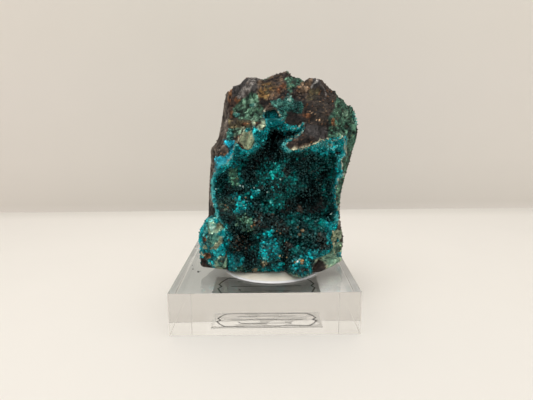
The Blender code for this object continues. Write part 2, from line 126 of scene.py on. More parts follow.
# Outline of the rock in the photo's pixels: top from left to right, and its sides from top to bottom
TOP_PX = (
    (227.5, 91.5), (231, 88.6), (235, 85.6), (240.5, 84.2), (243.3, 80), (247, 77.6), (257, 77.6),
    (263, 80), (266, 78.5), (272, 76),
    (280, 73), (286, 71.5), (288.5, 70.5), (290, 75), (294, 77), (300, 78), (303.5, 81.5), (308, 78.5),
    (313, 78), (319, 79), (323, 81), (326, 84.5), (330, 89), (336, 92), (338, 97), (343, 99), (346.5, 104.5),
    (349, 106), (352, 105.5), (355, 112),
)
LEFT_PX = (
    (95, 225.6), (100, 224.6), (112, 223), (125, 221), (137, 218.5), (143, 216), (147, 212),
    (149.5, 210.6), (160, 211), (175, 209.8),
    (200, 208.8), (216, 208.5), (222, 205), (228, 202), (233, 200), (240, 199), (247, 200.5), (256, 200.5),
    (267, 201),
)
RIGHT_PX = (
    (108, 353), (114, 355), (122, 356.5), (132, 357.5), (140, 356), (150, 352.5), (160, 350), (168, 347.5),
    (176, 345), (184, 343), (195, 340.5), (206, 339.5), (216, 339.5), (228, 341), (236, 343), (244, 342.5),
    (252, 341.5), (262, 341),
)

# Corner where the rock's top meets its flat left side, and the reach of its smoothing
CORNER_PX = (228.0, 93.0)
CORNER_REACH = (5.5, 7.0)
# Where it is lifted again: x, y, half width, half height in pixels, how far in mm
CORNER_LIFTS = ((228.0, 96.0, 3.0, 7.0, 0.75), (229.2, 97.0, 1.3, 6.0, 0.6))
FOOT_DROP = 0.4

ROCK_VOXEL = 0.34
DRUSE_CELL = 0.3
DRUSE_MIDDLE = (4.0, 32.0)
WALL_RINGS = 6
CRYSTALS = 11000
RIM_REACH = -0.12
GRAINS = 9000
STAIN_CRYSTALS = 3000
CRYSTALS_PER_PIECE = 5500


# ---- Helpers


def smooth(value, low=0.0, high=1.0):
    t = np.clip((value - low) / (high - low), 0.0, 1.0)
    return t * t * (3 - 2 * t)


def hashed(cells, seed):
    """A pseudo-random number from 0 to 1 for each row of whole numbers."""
    c = cells.astype(np.int64)
    h = c[..., 0] * 374761393 + c[..., 1] * 668265263 + c[..., 2] * 2147483647 + seed * 974634777
    h = (h ^ (h >> 13)) * 1274126177
    h = (h ^ (h >> 16)) & 0xFFFFFF
    return h / float(0xFFFFFF)


def value_noise(points, size, seed=0):
    """Smooth noise from -1 to 1 over points of shape (n, 3)."""
    p = np.asarray(points, float) / size
    low = np.floor(p)
    t = p - low
    t = t * t * (3 - 2 * t)
    total = 0.0
    for dx in (0, 1):
        for dy in (0, 1):
            for dz in (0, 1):
                weight = (t[:, 0] if dx else 1 - t[:, 0]) * (t[:, 1] if dy else 1 - t[:, 1])
                weight = weight * (t[:, 2] if dz else 1 - t[:, 2])
                total = total + weight * hashed(low + (dx, dy, dz), seed)
    return total * 2 - 1


def fractal(points, size, octaves=4, seed=0, gain=0.5):
    total, amplitude, reach = 0.0, 1.0, 0.0
    for octave in range(octaves):
        total = total + amplitude * value_noise(points, size / 2**octave, seed + 17 * octave)
        reach += amplitude
        amplitude *= gain
    return total / reach


def cell_noise(points, size, seed=0):
    """(distance to the nearest feature point, the second nearest, a random number of the nearest) over cells."""
    p = np.asarray(points, float) / size
    low = np.floor(p)
    first = np.full(len(p), 9.0)
    second = np.full(len(p), 9.0)
    tag = np.zeros(len(p))
    for dx in (-1, 0, 1):
        for dy in (-1, 0, 1):
            for dz in (-1, 0, 1):
                cell = low + (dx, dy, dz)
                jitter = np.stack([hashed(cell, seed + k) for k in range(3)], -1)
                away = np.linalg.norm(cell + jitter - p, axis=1)
                nearer = away < first
                second = np.where(nearer, first, np.minimum(second, away))
                tag = np.where(nearer, hashed(cell, seed + 7), tag)
                first = np.where(nearer, away, first)
    return first, second, tag


def camera_axes():
    """The camera's right, up and forward directions."""
    pitch, yaw, roll = (math.radians(a) for a in (PITCH, YAW, ROLL))

    def turned(xr, zr):
        x = math.cos(roll) * xr - math.sin(roll) * zr
        zz = math.sin(roll) * xr + math.cos(roll) * zr
        y = math.cos(pitch) + math.sin(pitch) * zz
        z = -math.sin(pitch) + math.cos(pitch) * zz
        return np.array([math.cos(yaw) * x - math.sin(yaw) * y, math.sin(yaw) * x + math.cos(yaw) * y, z])

    forward = turned(0, 0)
    right = turned(1, 0) - forward
    up = turned(0, 1) - forward
    return right, up, forward


RIGHT_AXIS, UP_AXIS, FORWARD_AXIS = camera_axes()


def to_pixels(points):
    """Where points show in the photo, as (n, 2) pixels."""
    d = np.asarray(points, float) - np.array(CAMERA_AT)
    depth = d @ FORWARD_AXIS
    across = IMAGE_SIZE[0] / 2 + FOCAL_PX * (d @ RIGHT_AXIS) / depth
    down = IMAGE_SIZE[1] / 2 - FOCAL_PX * (d @ UP_AXIS) / depth
    return np.stack([across, down], -1)


def front_plane(x, z):
    y = FRONT_Y + FRONT_LEAN * np.maximum(0.0, z - LEAN_FROM)
    for way, start, end, fall in SIDE_FALLS:
        y = y + fall * smooth(way * x, start, end)
    start, end, depth = UNDERCUT
    return y + depth * smooth(x, start, end) * smooth(UNDERCUT_TOP - z, 0.0, UNDERCUT_FADE)


def front_point(u, v):
    """The (x, z) at which a pixel of the photo meets the rock's front."""
    direction = FORWARD_AXIS + RIGHT_AXIS * (u - IMAGE_SIZE[0] / 2) / FOCAL_PX
    direction = direction + UP_AXIS * (IMAGE_SIZE[1] / 2 - v) / FOCAL_PX
    y = FRONT_Y
    for _ in range(8):
        at = np.array(CAMERA_AT) + direction * (y - CAMERA_AT[1]) / direction[1]
        y = float(front_plane(at[0], at[2]))
    return at[0], at[2]


RIM = [front_point(u, v) for u, v in RIM_PX]


def polygon_distance(points, polygon):
    """How far 2-D points lie inside a polygon. It is negative outside."""
    inside = np.zeros(len(points), bool)
    nearest = np.full(len(points), 1e9)
    x, y = points[:, 0], points[:, 1]
    corners = list(polygon)
    for (x0, y0), (x1, y1) in zip(corners, corners[1:] + corners[:1]):
        if y0 != y1:
            crosses = ((y0 > y) != (y1 > y)) & (x < x0 + (y - y0) * (x1 - x0) / (y1 - y0))
            inside ^= crosses
        run = np.array([x1 - x0, y1 - y0], float)
        t = np.clip(((x - x0) * run[0] + (y - y0) * run[1]) / max(run @ run, 1e-9), 0, 1)
        nearest = np.minimum(nearest, np.hypot(x - x0 - t * run[0], y - y0 - t * run[1]))
    return np.where(inside, nearest, -nearest)


def line_distance(points, line):
    nearest = np.full(len(points), 1e9)
    for (x0, y0), (x1, y1) in zip(line, line[1:]):
        run = np.array([x1 - x0, y1 - y0], float)
        t = np.clip(((points[:, 0] - x0) * run[0] + (points[:, 1] - y0) * run[1]) / max(run @ run, 1e-9), 0, 1)
        nearest = np.minimum(
            nearest, np.hypot(points[:, 0] - x0 - t * run[0], points[:, 1] - y0 - t * run[1])
        )
    return nearest


def oval(x, y, half_wide, half_high, corners=20):
    turn = 2 * math.pi / corners
    return [(x + half_wide * math.cos(k * turn), y + half_high * math.sin(k * turn)) for k in range(corners)]


def mesh_from(name, points, faces, smooth_shaded=True):
    """A mesh object in metres from points in millimetres."""
    mesh = bpy.data.meshes.new(name)
    mesh.from_pydata((np.asarray(points) * MM).tolist(), [], [tuple(face) for face in faces])
    mesh.update()
    if smooth_shaded:
        mesh.shade_smooth()
    obj = bpy.data.objects.new(name, mesh)
    bpy.context.scene.collection.objects.link(obj)
    return obj


def paint(obj, name, colours):
    """Stores a colour for each vertex."""
    attribute = obj.data.attributes.new(name, "FLOAT_COLOR", "POINT")
    values = np.ones((len(colours), 4), np.float32)
    values[:, :3] = colours
    attribute.data.foreach_set("color", values.ravel())


def linear(red, green, blue):
    """A linear colour from a screen colour of 0 to 255."""
    c = np.array([red, green, blue], float) / 255
    return np.where(c <= 0.04045, c / 12.92, ((c + 0.055) / 1.055) ** 2.4)


def blend_in(colours, colour, share):
    share = np.clip(share, 0, 1)[:, None]
    return colours * (1 - share) + np.asarray(colour) * share


def piece(obj, node=None):
    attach(obj, "root")
    if node:
        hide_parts(node)
    return obj


# ---- Materials


def new_material(name):
    made = bpy.data.materials.new(name)
    made.use_nodes = True
    tree = made.node_tree
    return made, tree, tree.nodes["Principled BSDF"]


def noise_node(tree, scale, detail=4.0, roughness=0.55, vector=None):
    node = tree.nodes.new("ShaderNodeTexNoise")
    node.inputs["Scale"].default_value = scale
    node.inputs["Detail"].default_value = detail
    node.inputs["Roughness"].default_value = roughness
    coords = tree.nodes.new("ShaderNodeTexCoord")
    tree.links.new(vector or coords.outputs["Object"], node.inputs["Vector"])
    return node


def ramp_node(tree, source, stops):
    node = tree.nodes.new("ShaderNodeValToRGB")
    ramp = node.color_ramp
    while len(ramp.elements) < len(stops):
        ramp.elements.new(0.5)
    for element, (position, colour) in zip(ramp.elements, stops):
        element.position = position
        element.color = (*colour, 1.0) if len(colour) == 3 else colour
    tree.links.new(source, node.inputs["Fac"])
    return node


def grey(value):
    return (value, value, value)


def add_bump(tree, shader, height, strength, distance_mm):
    bump = tree.nodes.new("ShaderNodeBump")
    bump.inputs["Strength"].default_value = strength
    bump.inputs["Distance"].default_value = distance_mm * MM
    tree.links.new(height, bump.inputs["Height"])
    tree.links.new(bump.outputs["Normal"], shader.inputs["Normal"])


def multiply_colour(tree, first, second, factor=1.0):
    node = tree.nodes.new("ShaderNodeMix")
    node.data_type = "RGBA"
    node.blend_type = "MULTIPLY"
    node.inputs["Factor"].default_value = factor
    tree.links.new(first, node.inputs[6])
    tree.links.new(second, node.inputs[7])
    return node.outputs[2]


def painted_rock_material():
    made, tree, shader = new_material("gossan_rock_look")
    attribute = tree.nodes.new("ShaderNodeAttribute")
    attribute.attribute_name = "paint"
    grain = noise_node(tree, 2600, 5)
    shade = ramp_node(tree, grain.outputs["Fac"], [(0.3, grey(0.55)), (0.7, grey(1.45))])
    colour = multiply_colour(tree, attribute.outputs["Color"], shade.outputs["Color"], 0.8)
    tree.links.new(colour, shader.inputs["Base Color"])
    rough = ramp_node(tree, noise_node(tree, 900).outputs["Fac"], [(0.3, grey(0.55)), (0.75, grey(0.9))])
    tree.links.new(rough.outputs["Color"], shader.inputs["Roughness"])
    shader.inputs["Specular IOR Level"].default_value = 0.28
    add_bump(tree, shader, noise_node(tree, 2200, 8, 0.65).outputs["Fac"], 0.6, 0.25)
    return made


def druse_base_material():
    made, tree, shader = new_material("druse_base_look")
    attribute = tree.nodes.new("ShaderNodeAttribute")
    attribute.attribute_name = "paint"
    grain = noise_node(tree, 3500, 4)
    shade = ramp_node(tree, grain.outputs["Fac"], [(0.3, grey(0.5)), (0.7, grey(1.5))])
    colour = multiply_colour(tree, attribute.outputs["Color"], shade.outputs["Color"], 0.8)
    tree.links.new(colour, shader.inputs["Base Color"])
    shader.inputs["Roughness"].default_value = 0.5
    shader.inputs["Specular IOR Level"].default_value = 0.3
    add_bump(tree, shader, noise_node(tree, 2600, 6, 0.6).outputs["Fac"], 0.5, 0.25)
    return made


def crystal_material():
    made, tree, shader = new_material("dioptase_crystal_look")
    attribute = tree.nodes.new("ShaderNodeAttribute")
    attribute.attribute_name = "paint"
    veil = noise_node(tree, 3000, 3)
    shade = ramp_node(tree, veil.outputs["Fac"], [(0.3, grey(0.7)), (0.7, grey(1.25))])
    colour = multiply_colour(tree, attribute.outputs["Color"], shade.outputs["Color"], 0.7)
    tree.links.new(colour, shader.inputs["Base Color"])
    shader.inputs["Roughness"].default_value = 0.25
    shader.inputs["IOR"].default_value = 1.67
    shader.inputs["Specular Tint"].default_value = (0.3, 0.85, 0.85, 1)
    shader.inputs["Transmission Weight"].default_value = 0.2
    return made


def clear_block_material():
    made, tree, shader = new_material("clear_acrylic_look")
    shader.inputs["Base Color"].default_value = (0.985, 0.99, 0.985, 1)
    shader.inputs["Transmission Weight"].default_value = 1.0
    shader.inputs["IOR"].default_value = 1.49
    smear = ramp_node(tree, noise_node(tree, 60, 3).outputs["Fac"], [(0.35, grey(0.0)), (0.75, grey(0.035))])
    tree.links.new(smear.outputs["Color"], shader.inputs["Roughness"])
    return made


def putty_material():
    made, tree, shader = new_material("putty_look")
    tint = ramp_node(
        tree, noise_node(tree, 350, 5).outputs["Fac"], [(0.3, linear(234, 225, 206)), (0.7, linear(250, 244, 230))]
    )
    tree.links.new(tint.outputs["Color"], shader.inputs["Base Color"])
    shader.inputs["Roughness"].default_value = 0.55
    add_bump(tree, shader, noise_node(tree, 700, 4).outputs["Fac"], 0.3, 0.2)
    return made


def paper_material():
    made, tree, shader = new_material("label_paper_look")
    tint = ramp_node(
        tree, noise_node(tree, 1500, 5).outputs["Fac"], [(0.3, linear(150, 150, 145)), (0.7, linear(166, 165, 158))]
    )
    tree.links.new(tint.outputs["Color"], shader.inputs["Base Color"])
    shader.inputs["Roughness"].default_value = 0.2
    shader.inputs["IOR"].default_value = 2.0
    return made


def ink_material():
    made, tree, shader = new_material("label_ink_look")
    tint = ramp_node(tree, noise_node(tree, 3000, 3).outputs["Fac"], [(0.3, grey(0.01)), (0.7, grey(0.03))])
    tree.links.new(tint.outputs["Color"], shader.inputs["Base Color"])
    shader.inputs["Specular IOR Level"].default_value = 0.2
    shader.inputs["Roughness"].default_value = 0.6
    return made


def glue_material(name, roughness, ior):
    """Clear glue, or air where the glue let go: a mirror at the low angle of the front face."""
    made, tree, shader = new_material(name)
    tint = ramp_node(tree, noise_node(tree, 900, 4).outputs["Fac"], [(0.3, grey(0.93)), (0.7, grey(1.0))])
    tree.links.new(tint.outputs["Color"], shader.inputs["Base Color"])
    shader.inputs["Roughness"].default_value = roughness
    shader.inputs["Transmission Weight"].default_value = 1.0
    shader.inputs["IOR"].default_value = ior
    return made


def dust_material():
    made, tree, shader = new_material("dust_look")
    tint = ramp_node(tree, noise_node(tree, 3000, 3).outputs["Fac"], [(0.3, grey(0.02)), (0.7, grey(0.08))])
    tree.links.new(tint.outputs["Color"], shader.inputs["Base Color"])
    return made


# ---- Camera, stage and lights


def make_camera():
    data = bpy.data.cameras.new("photo_camera")
    data.sensor_width = 36.0
    data.lens = FOCAL_PX / IMAGE_SIZE[0] * data.sensor_width
    data.clip_start = 0.005
    data.clip_end = 20.0
    data.dof.use_dof = False
    obj = bpy.data.objects.new("photo_camera", data)
    bpy.context.scene.collection.objects.link(obj)
    turn = Matrix([RIGHT_AXIS, UP_AXIS, -FORWARD_AXIS]).transposed()
    obj.matrix_world = Matrix.Translation(Vector(CAMERA_AT) * MM) @ turn.to_4x4()
    bpy.context.scene.camera = obj


def axis_ramp(tree, axis, span, stops):
    """Colours along one axis of the object, over a span in millimetres."""
    coords = tree.nodes.new("ShaderNodeTexCoord")
    parts = tree.nodes.new("ShaderNodeSeparateXYZ")
    tree.links.new(coords.outputs["Object"], parts.inputs["Vector"])
    reach = tree.nodes.new("ShaderNodeMapRange")
    reach.inputs["From Min"].default_value = span[0] * MM
    reach.inputs["From Max"].default_value = span[1] * MM
    tree.links.new(parts.outputs[axis], reach.inputs["Value"])
    return ramp_node(tree, reach.outputs["Result"], stops).outputs["Color"]


def stage_material(name, axis, span, stops, across):
    """A plain surface whose tone changes softly along one axis and across it; on the table, shade is painted under
    the block.
    """
    made, tree, shader = new_material(name)
    tone = axis_ramp(tree, axis, span, stops)
    tone = multiply_colour(tree, tone, axis_ramp(tree, "X", (-170.0, 170.0), across))
    if axis == "Y":
        tone = painted_block_shade(tree, tone)
    mottle = ramp_node(tree, noise_node(tree, 30, 3).outputs["Fac"], [(0.2, grey(0.985)), (0.8, grey(1.0))])
    tree.links.new(multiply_colour(tree, tone, mottle.outputs["Color"]), shader.inputs["Base Color"])
    shader.inputs["Roughness"].default_value = 0.7
    shader.inputs["Specular IOR Level"].default_value = 0.2
    return made


def painted_block_shade(tree, tone):
    """Darkens a tone with painted shade where the block covers the table, most of all on the left."""
    coords = tree.nodes.new("ShaderNodeTexCoord")
    parts = tree.nodes.new("ShaderNodeSeparateXYZ")
    tree.links.new(coords.outputs["Object"], parts.inputs["Vector"])
    widest = tree.nodes.new("ShaderNodeMath")
    widest.operation = "MAXIMUM"
    for slot, axis in enumerate(("X", "Y")):
        away = tree.nodes.new("ShaderNodeMath")
        away.operation = "ABSOLUTE"
        tree.links.new(parts.outputs[axis], away.inputs[0])
        tree.links.new(away.outputs["Value"], widest.inputs[slot])
    cover = tree.nodes.new("ShaderNodeMapRange")
    cover.inputs["From Min"].default_value = (BASE_SIDE / 2 - 0.5) * MM
    cover.inputs["From Max"].default_value = (BASE_SIDE / 2 + 0.1) * MM
    cover.inputs["To Min"].default_value = 1.0
    cover.inputs["To Max"].default_value = 0.0
    tree.links.new(widest.outputs["Value"], cover.inputs["Value"])
    shades = [
        (0.0, (0.42, 0.455, 0.465)), (0.45, (0.63, 0.67, 0.68)), (0.85, (0.95, 0.97, 1.0)), (1.0, (0.5, 0.52, 0.54)),
    ]
    shade = axis_ramp(tree, "X", (-BASE_SIDE / 2, BASE_SIDE / 2), shades)
    darker = multiply_colour(tree, tone, shade)
    tree.links.new(cover.outputs["Result"], darker.node.inputs["Factor"])
    return darker


def make_stage():
    """A pale table top and, behind its far edge, a warm grey wall. Their seam is soft."""
    far = 137.0
    corners = [(-900, -700, -0.06), (900, -700, -0.06), (900, far, -0.06), (-900, far, -0.06)]
    table = mesh_from("table_top", corners, [(0, 1, 2, 3)], False)
    stops = [(0.0, linear(240, 236, 229)), (0.72, linear(240, 236, 229)), (1.0, linear(228, 224, 216))]
    even = [(0.0, grey(1.0)), (1.0, grey(0.98))]
    table.data.materials.append(stage_material("table_look", "Y", (60.0, far), stops, even))
    corners = [(-900, far, -1), (900, far, -1), (900, far, 900), (-900, far, 900)]
    wall = mesh_from("backdrop", corners, [(0, 1, 2, 3)], False)
    stops = [
        (0.0, linear(236, 230, 222)), (0.018, linear(232, 226, 218)), (0.05, linear(226, 220, 211)),
        (0.3, linear(231, 225, 216)), (0.7, linear(232, 226, 217)), (1.0, linear(231, 225, 215)),
    ]
    across = [(0.0, (0.98, 0.97, 0.97)), (0.35, (0.88, 0.885, 0.885)), (0.65, (0.885, 0.89, 0.9)), (1.0, grey(1.0))]
    wall.data.materials.append(stage_material("wall_look", "Z", (-1.0, 110.0), stops, across))


def area_light(name, at, aim, size, watts, colour=(1, 1, 1)):
    data = bpy.data.lights.new(name, "AREA")
    data.shape = "RECTANGLE"
    data.size, data.size_y = size[0] * MM, size[1] * MM
    data.energy = watts
    data.color = colour
    obj = bpy.data.objects.new(name, data)
    bpy.context.scene.collection.objects.link(obj)
    at = Vector(at) * MM
    obj.location = at
    obj.rotation_euler = (Vector(aim) * MM - at).to_track_quat("-Z", "Y").to_euler()
    return obj


def make_lights():
    area_light("key", (-90, -150, 340), (0, -10, 35), (180, 180), 0.26, (1.0, 0.98, 0.95))
    area_light("top", (40, -20, 420), (0, 0, 30), (300, 260), 0.5, (1.0, 0.98, 0.95))
    world = bpy.data.worlds.new("studio")
    world.use_nodes = True
    background = world.node_tree.nodes["Background"]
    background.inputs["Color"].default_value = (0.98, 0.97, 0.97, 1)
    background.inputs["Strength"].default_value = 0.72
    bpy.context.scene.world = world
    bpy.context.scene.view_settings.view_transform = "Standard"


# ---- Base, label, seat and putty


def make_block():
    bm = bmesh.new()
    bmesh.ops.create_cube(bm, size=1.0)
    bmesh.ops.scale(bm, vec=(BASE_SIDE, BASE_SIDE, BASE_HEIGHT), verts=bm.verts)
    bmesh.ops.translate(bm, vec=(0, 0, BASE_HEIGHT / 2), verts=bm.verts)
    bmesh.ops.bevel(bm, geom=bm.edges[:], offset=0.09, segments=2, profile=0.6, affect="EDGES")
    bmesh.ops.scale(bm, vec=(MM, MM, MM), verts=bm.verts)
    mesh = bpy.data.meshes.new("acrylic_block")
    bm.to_mesh(mesh)
    bm.free()
    for polygon in mesh.polygons:
        polygon.use_smooth = polygon.area < LARGE_FACE * MM * MM
    obj = bpy.data.objects.new("acrylic_block", mesh)
    bpy.context.scene.collection.objects.link(obj)
    mesh.materials.append(clear_block_material())
    obj.visible_shadow = False
    return piece(obj, "acrylic_base")


def strip_faces(points, faces, line, width, z):
    """Adds a flat line of ink along a polyline."""
    for (x0, y0), (x1, y1) in zip(line, line[1:]):
        run = Vector((x1 - x0, y1 - y0))
        if run.length < 1e-6:
            continue
        along = run.normalized() * width / 2
        side = Vector((-along.y, along.x))
        corners = [
            (x0 - along.x - side.x, y0 - along.y - side.y),
            (x1 + along.x - side.x, y1 + along.y - side.y),
            (x1 + along.x + side.x, y1 + along.y + side.y),
            (x0 - along.x + side.x, y0 - along.y + side.y),
        ]
        first = len(points)
        points.extend((x, y, z) for x, y in corners)
        faces.append((first, first + 1, first + 2, first + 3))


def make_label():
    """The paper slip under the base, with a border line and plain ruled lines."""
    cx, cy = LABEL_CENTRE
    half_x, half_y = LABEL_SIZE[0] / 2, LABEL_SIZE[1] / 2
    bm = bmesh.new()
    bmesh.ops.create_cube(bm, size=1.0)
    bmesh.ops.scale(bm, vec=(LABEL_SIZE[0], LABEL_SIZE[1], 0.04), verts=bm.verts)
    bmesh.ops.translate(bm, vec=(cx, cy, 0.04), verts=bm.verts)
    bmesh.ops.bevel(bm, geom=bm.edges[:], offset=0.01, segments=1, affect="EDGES")
    bmesh.ops.scale(bm, vec=(MM, MM, MM), verts=bm.verts)
    mesh = bpy.data.meshes.new("label_paper")
    bm.to_mesh(mesh)
    bm.free()
    slip = bpy.data.objects.new("label_paper", mesh)
    bpy.context.scene.collection.objects.link(slip)
    mesh.materials.append(paper_material())
    piece(slip, "label_slip")
    notch = 2.2
    x0, x1 = cx - half_x + 1.3, cx + half_x - 1.3
    y0, y1 = cy - half_y + 1.2, cy + half_y - 1.2
    border = [
        (x0 + notch, y0), (x1 - notch, y0), (x1 - notch * 0.4, y0 + notch), (x1, cy - 1.5), (x1 - 0.9, cy),
        (x1, cy + 1.5), (x1 - notch * 0.4, y1 - notch), (x1 - notch, y1), (x0 + notch, y1),
        (x0 + notch * 0.4, y1 - notch), (x0, cy + 1.5), (x0 + 0.9, cy), (x0, cy - 1.5),
        (x0 + notch * 0.4, y0 + notch), (x0 + notch, y0),
    ]
    points, faces = [], []
    strip_faces(points, faces, border, 0.36, INK_Z)
    for row, (start, end) in enumerate(((0.20, 0.80), (0.14, 0.86), (0.24, 0.74))):
        y = cy + 3.4 - 3.4 * row
        line = [(x0 + (x1 - x0) * start, y), (x0 + (x1 - x0) * end, y)]
        strip_faces(points, faces, line, 0.3, INK_Z)
    ink = mesh_from("label_ink", points, faces, False)
    ink.data.materials.append(ink_material())
    piece(ink)


# Blots where the label's glue has let go: middle, half width, half depth
GLUE_BLOTS = (
    (-10.6, -15.0, 3.9, 2.3), (-3.9, -13.0, 3.0, 1.5), (3.4, -14.8, 2.9, 2.1), (11.0, -14.6, 3.7, 2.5),
    (-9.2, -7.3, 4.3, 1.7), (0.4, -8.6, 2.9, 1.3), (8.4, -7.1, 3.7, 1.4), (13.2, -9.9, 1.5, 1.6),
    (-2.2, -17.2, 4.3, 0.6), (6.6, -17.5, 2.7, 0.5), (-12.8, -10.8, 1.3, 1.1), (1.6, -5.4, 3.9, 0.6),
    (5.2, -11.2, 2.0, 0.8), (-5.4, -10.2, 2.1, 0.7),
)
DUST_SPECKS = ((-21.46, -6.63, 0.22), (-19.5, -9.01, 0.3), (-19.0, -8.3, 0.14), (-22.3, -3.1, 0.12))


def make_glue():
    points, faces = [], []
    corners = 44
    for blot, (x, y, half_wide, half_deep) in enumerate(GLUE_BLOTS):
        first = len(points)
        for k in range(corners):
            angle = 2 * math.pi * k / corners
            way = np.array([[math.cos(angle) * 2, math.sin(angle) * 2, blot * 7.0]])
            reach = 1 + 0.5 * float(fractal(way, 0.9, 3, 97)[0])
            points.append((x + half_wide * reach * math.cos(angle), y + half_deep * reach * math.sin(angle), 0.085))
        faces.append(tuple(range(first, first + corners)))
    glue = mesh_from("label_glue", points, faces, False)
    glue.data.materials.append(glue_material("label_glue_look", 0.05, AIR_UNDER_ACRYLIC))
    piece(glue)
    (cx, cy), (wide, deep) = LABEL_CENTRE, LABEL_SIZE
    cells = 8
    points = [
        (cx + wide * (i / cells - 0.5), cy + deep * (j / cells - 0.5), 0.075)
        for j in range(cells + 1)
        for i in range(cells + 1)
    ]
    row = cells + 1
    faces = [
        (row * j + i, row * j + i + 1, row * (j + 1) + i + 1, row * (j + 1) + i)
        for j in range(cells)
        for i in range(cells)
    ]
    film = mesh_from("label_film", points, faces, False)
    film.data.materials.append(glue_material("label_film_look", 0.35, 0.93))
    piece(film)


def make_dust():
    bm = bmesh.new()
    for x, y, radius in DUST_SPECKS:
        made = bmesh.ops.create_icosphere(bm, subdivisions=2, radius=radius)
        shape = np.array([vert.co for vert in made["verts"]])
        reach = 1 + 0.5 * value_noise(shape + (x, y, 0), radius * 1.2, 99)
        for vert, out in zip(made["verts"], reach):
            vert.co = Vector((vert.co.x * out * 1.2 + x, vert.co.y * out + y, vert.co.z * out * 0.6))
            vert.co.z += BASE_HEIGHT + radius * 0.35
    bmesh.ops.scale(bm, vec=(MM, MM, MM), verts=bm.verts)
    mesh = bpy.data.meshes.new("dust_specks")
    bm.to_mesh(mesh)
    bm.free()
    dust = bpy.data.objects.new("dust_specks", mesh)
    bpy.context.scene.collection.objects.link(dust)
    mesh.materials.append(dust_material())
    piece(dust)


def make_seat():
    """The clear round seat, with a bright rounded lower edge."""
    profile = [
        (0.0, 11.72), (13.9, 11.72), (14.25, 11.76), (14.42, 11.88), (14.42, 12.02), (14.3, 12.12),
        (14.2, 12.3), (14.05, 12.36), (0.0, 12.36),
    ]
    segments = 128
    points, faces = [], []
    rows = profile[1:-1]
    for radius, z in rows:
        for k in range(segments):
            angle = 2 * math.pi * k / segments
            points.append(
                (SEAT_CENTRE[0] + radius * math.cos(angle), SEAT_CENTRE[1] + radius * math.sin(angle), z)
            )
    for row in range(len(rows) - 1):
        for k in range(segments):
            a, b = row * segments + k, row * segments + (k + 1) % segments
            faces.append((a, b, b + segments, a + segments))
    faces.append(tuple(reversed(range(segments))))
    faces.append(tuple((len(rows) - 1) * segments + k for k in range(segments)))
    obj = mesh_from("seat_clear", points, faces)
    obj.data.set_sharp_from_angle(angle=math.radians(50))
    made, tree, shader = new_material("seat_look")
    tint = ramp_node(tree, noise_node(tree, 500, 3).outputs["Fac"], [(0.3, grey(0.94)), (0.7, grey(1.0))])
    tree.links.new(tint.outputs["Color"], shader.inputs["Base Color"])
    shader.inputs["Transmission Weight"].default_value = 0.15
    shader.inputs["Roughness"].default_value = 0.15
    shader.inputs["IOR"].default_value = 1.49
    obj.data.materials.append(made)
    return piece(obj, "seat_disc")


def make_putty():
    """Putty pressed to a disc, thick enough in the middle to reach the rock's foot."""
    segments, rings = 96, 14
    points, faces = [], []
    for ring in range(rings + 1):
        share = ring / rings
        radius = 13.95 * share
        for k in range(segments):
            angle = 2 * math.pi * k / segments
            x, y = SEAT_CENTRE[0] + radius * math.cos(angle), SEAT_CENTRE[1] + radius * math.sin(angle)
            z = 12.36 + 0.42 * (1 - share**10)
            if y > -9.0:
                z += 0.75 * float(smooth(y, -9.0, -6.0)) * float(smooth(1 - share, 0.08, 0.25))
            points.append((x, y, z))
    for ring in range(rings):
        for k in range(segments):
            a, b = ring * segments + k, ring * segments + (k + 1) % segments
            faces.append((a, a + segments, b + segments, b))
    points = np.array(points)
    points[:, 2] += 0.05 * fractal(points, 2.2, 3, 5) * (points[:, 2] > 12.4)
    obj = mesh_from("putty_pad", points, faces)
    obj.data.materials.append(putty_material())
    return piece(obj, "mounting_putty")
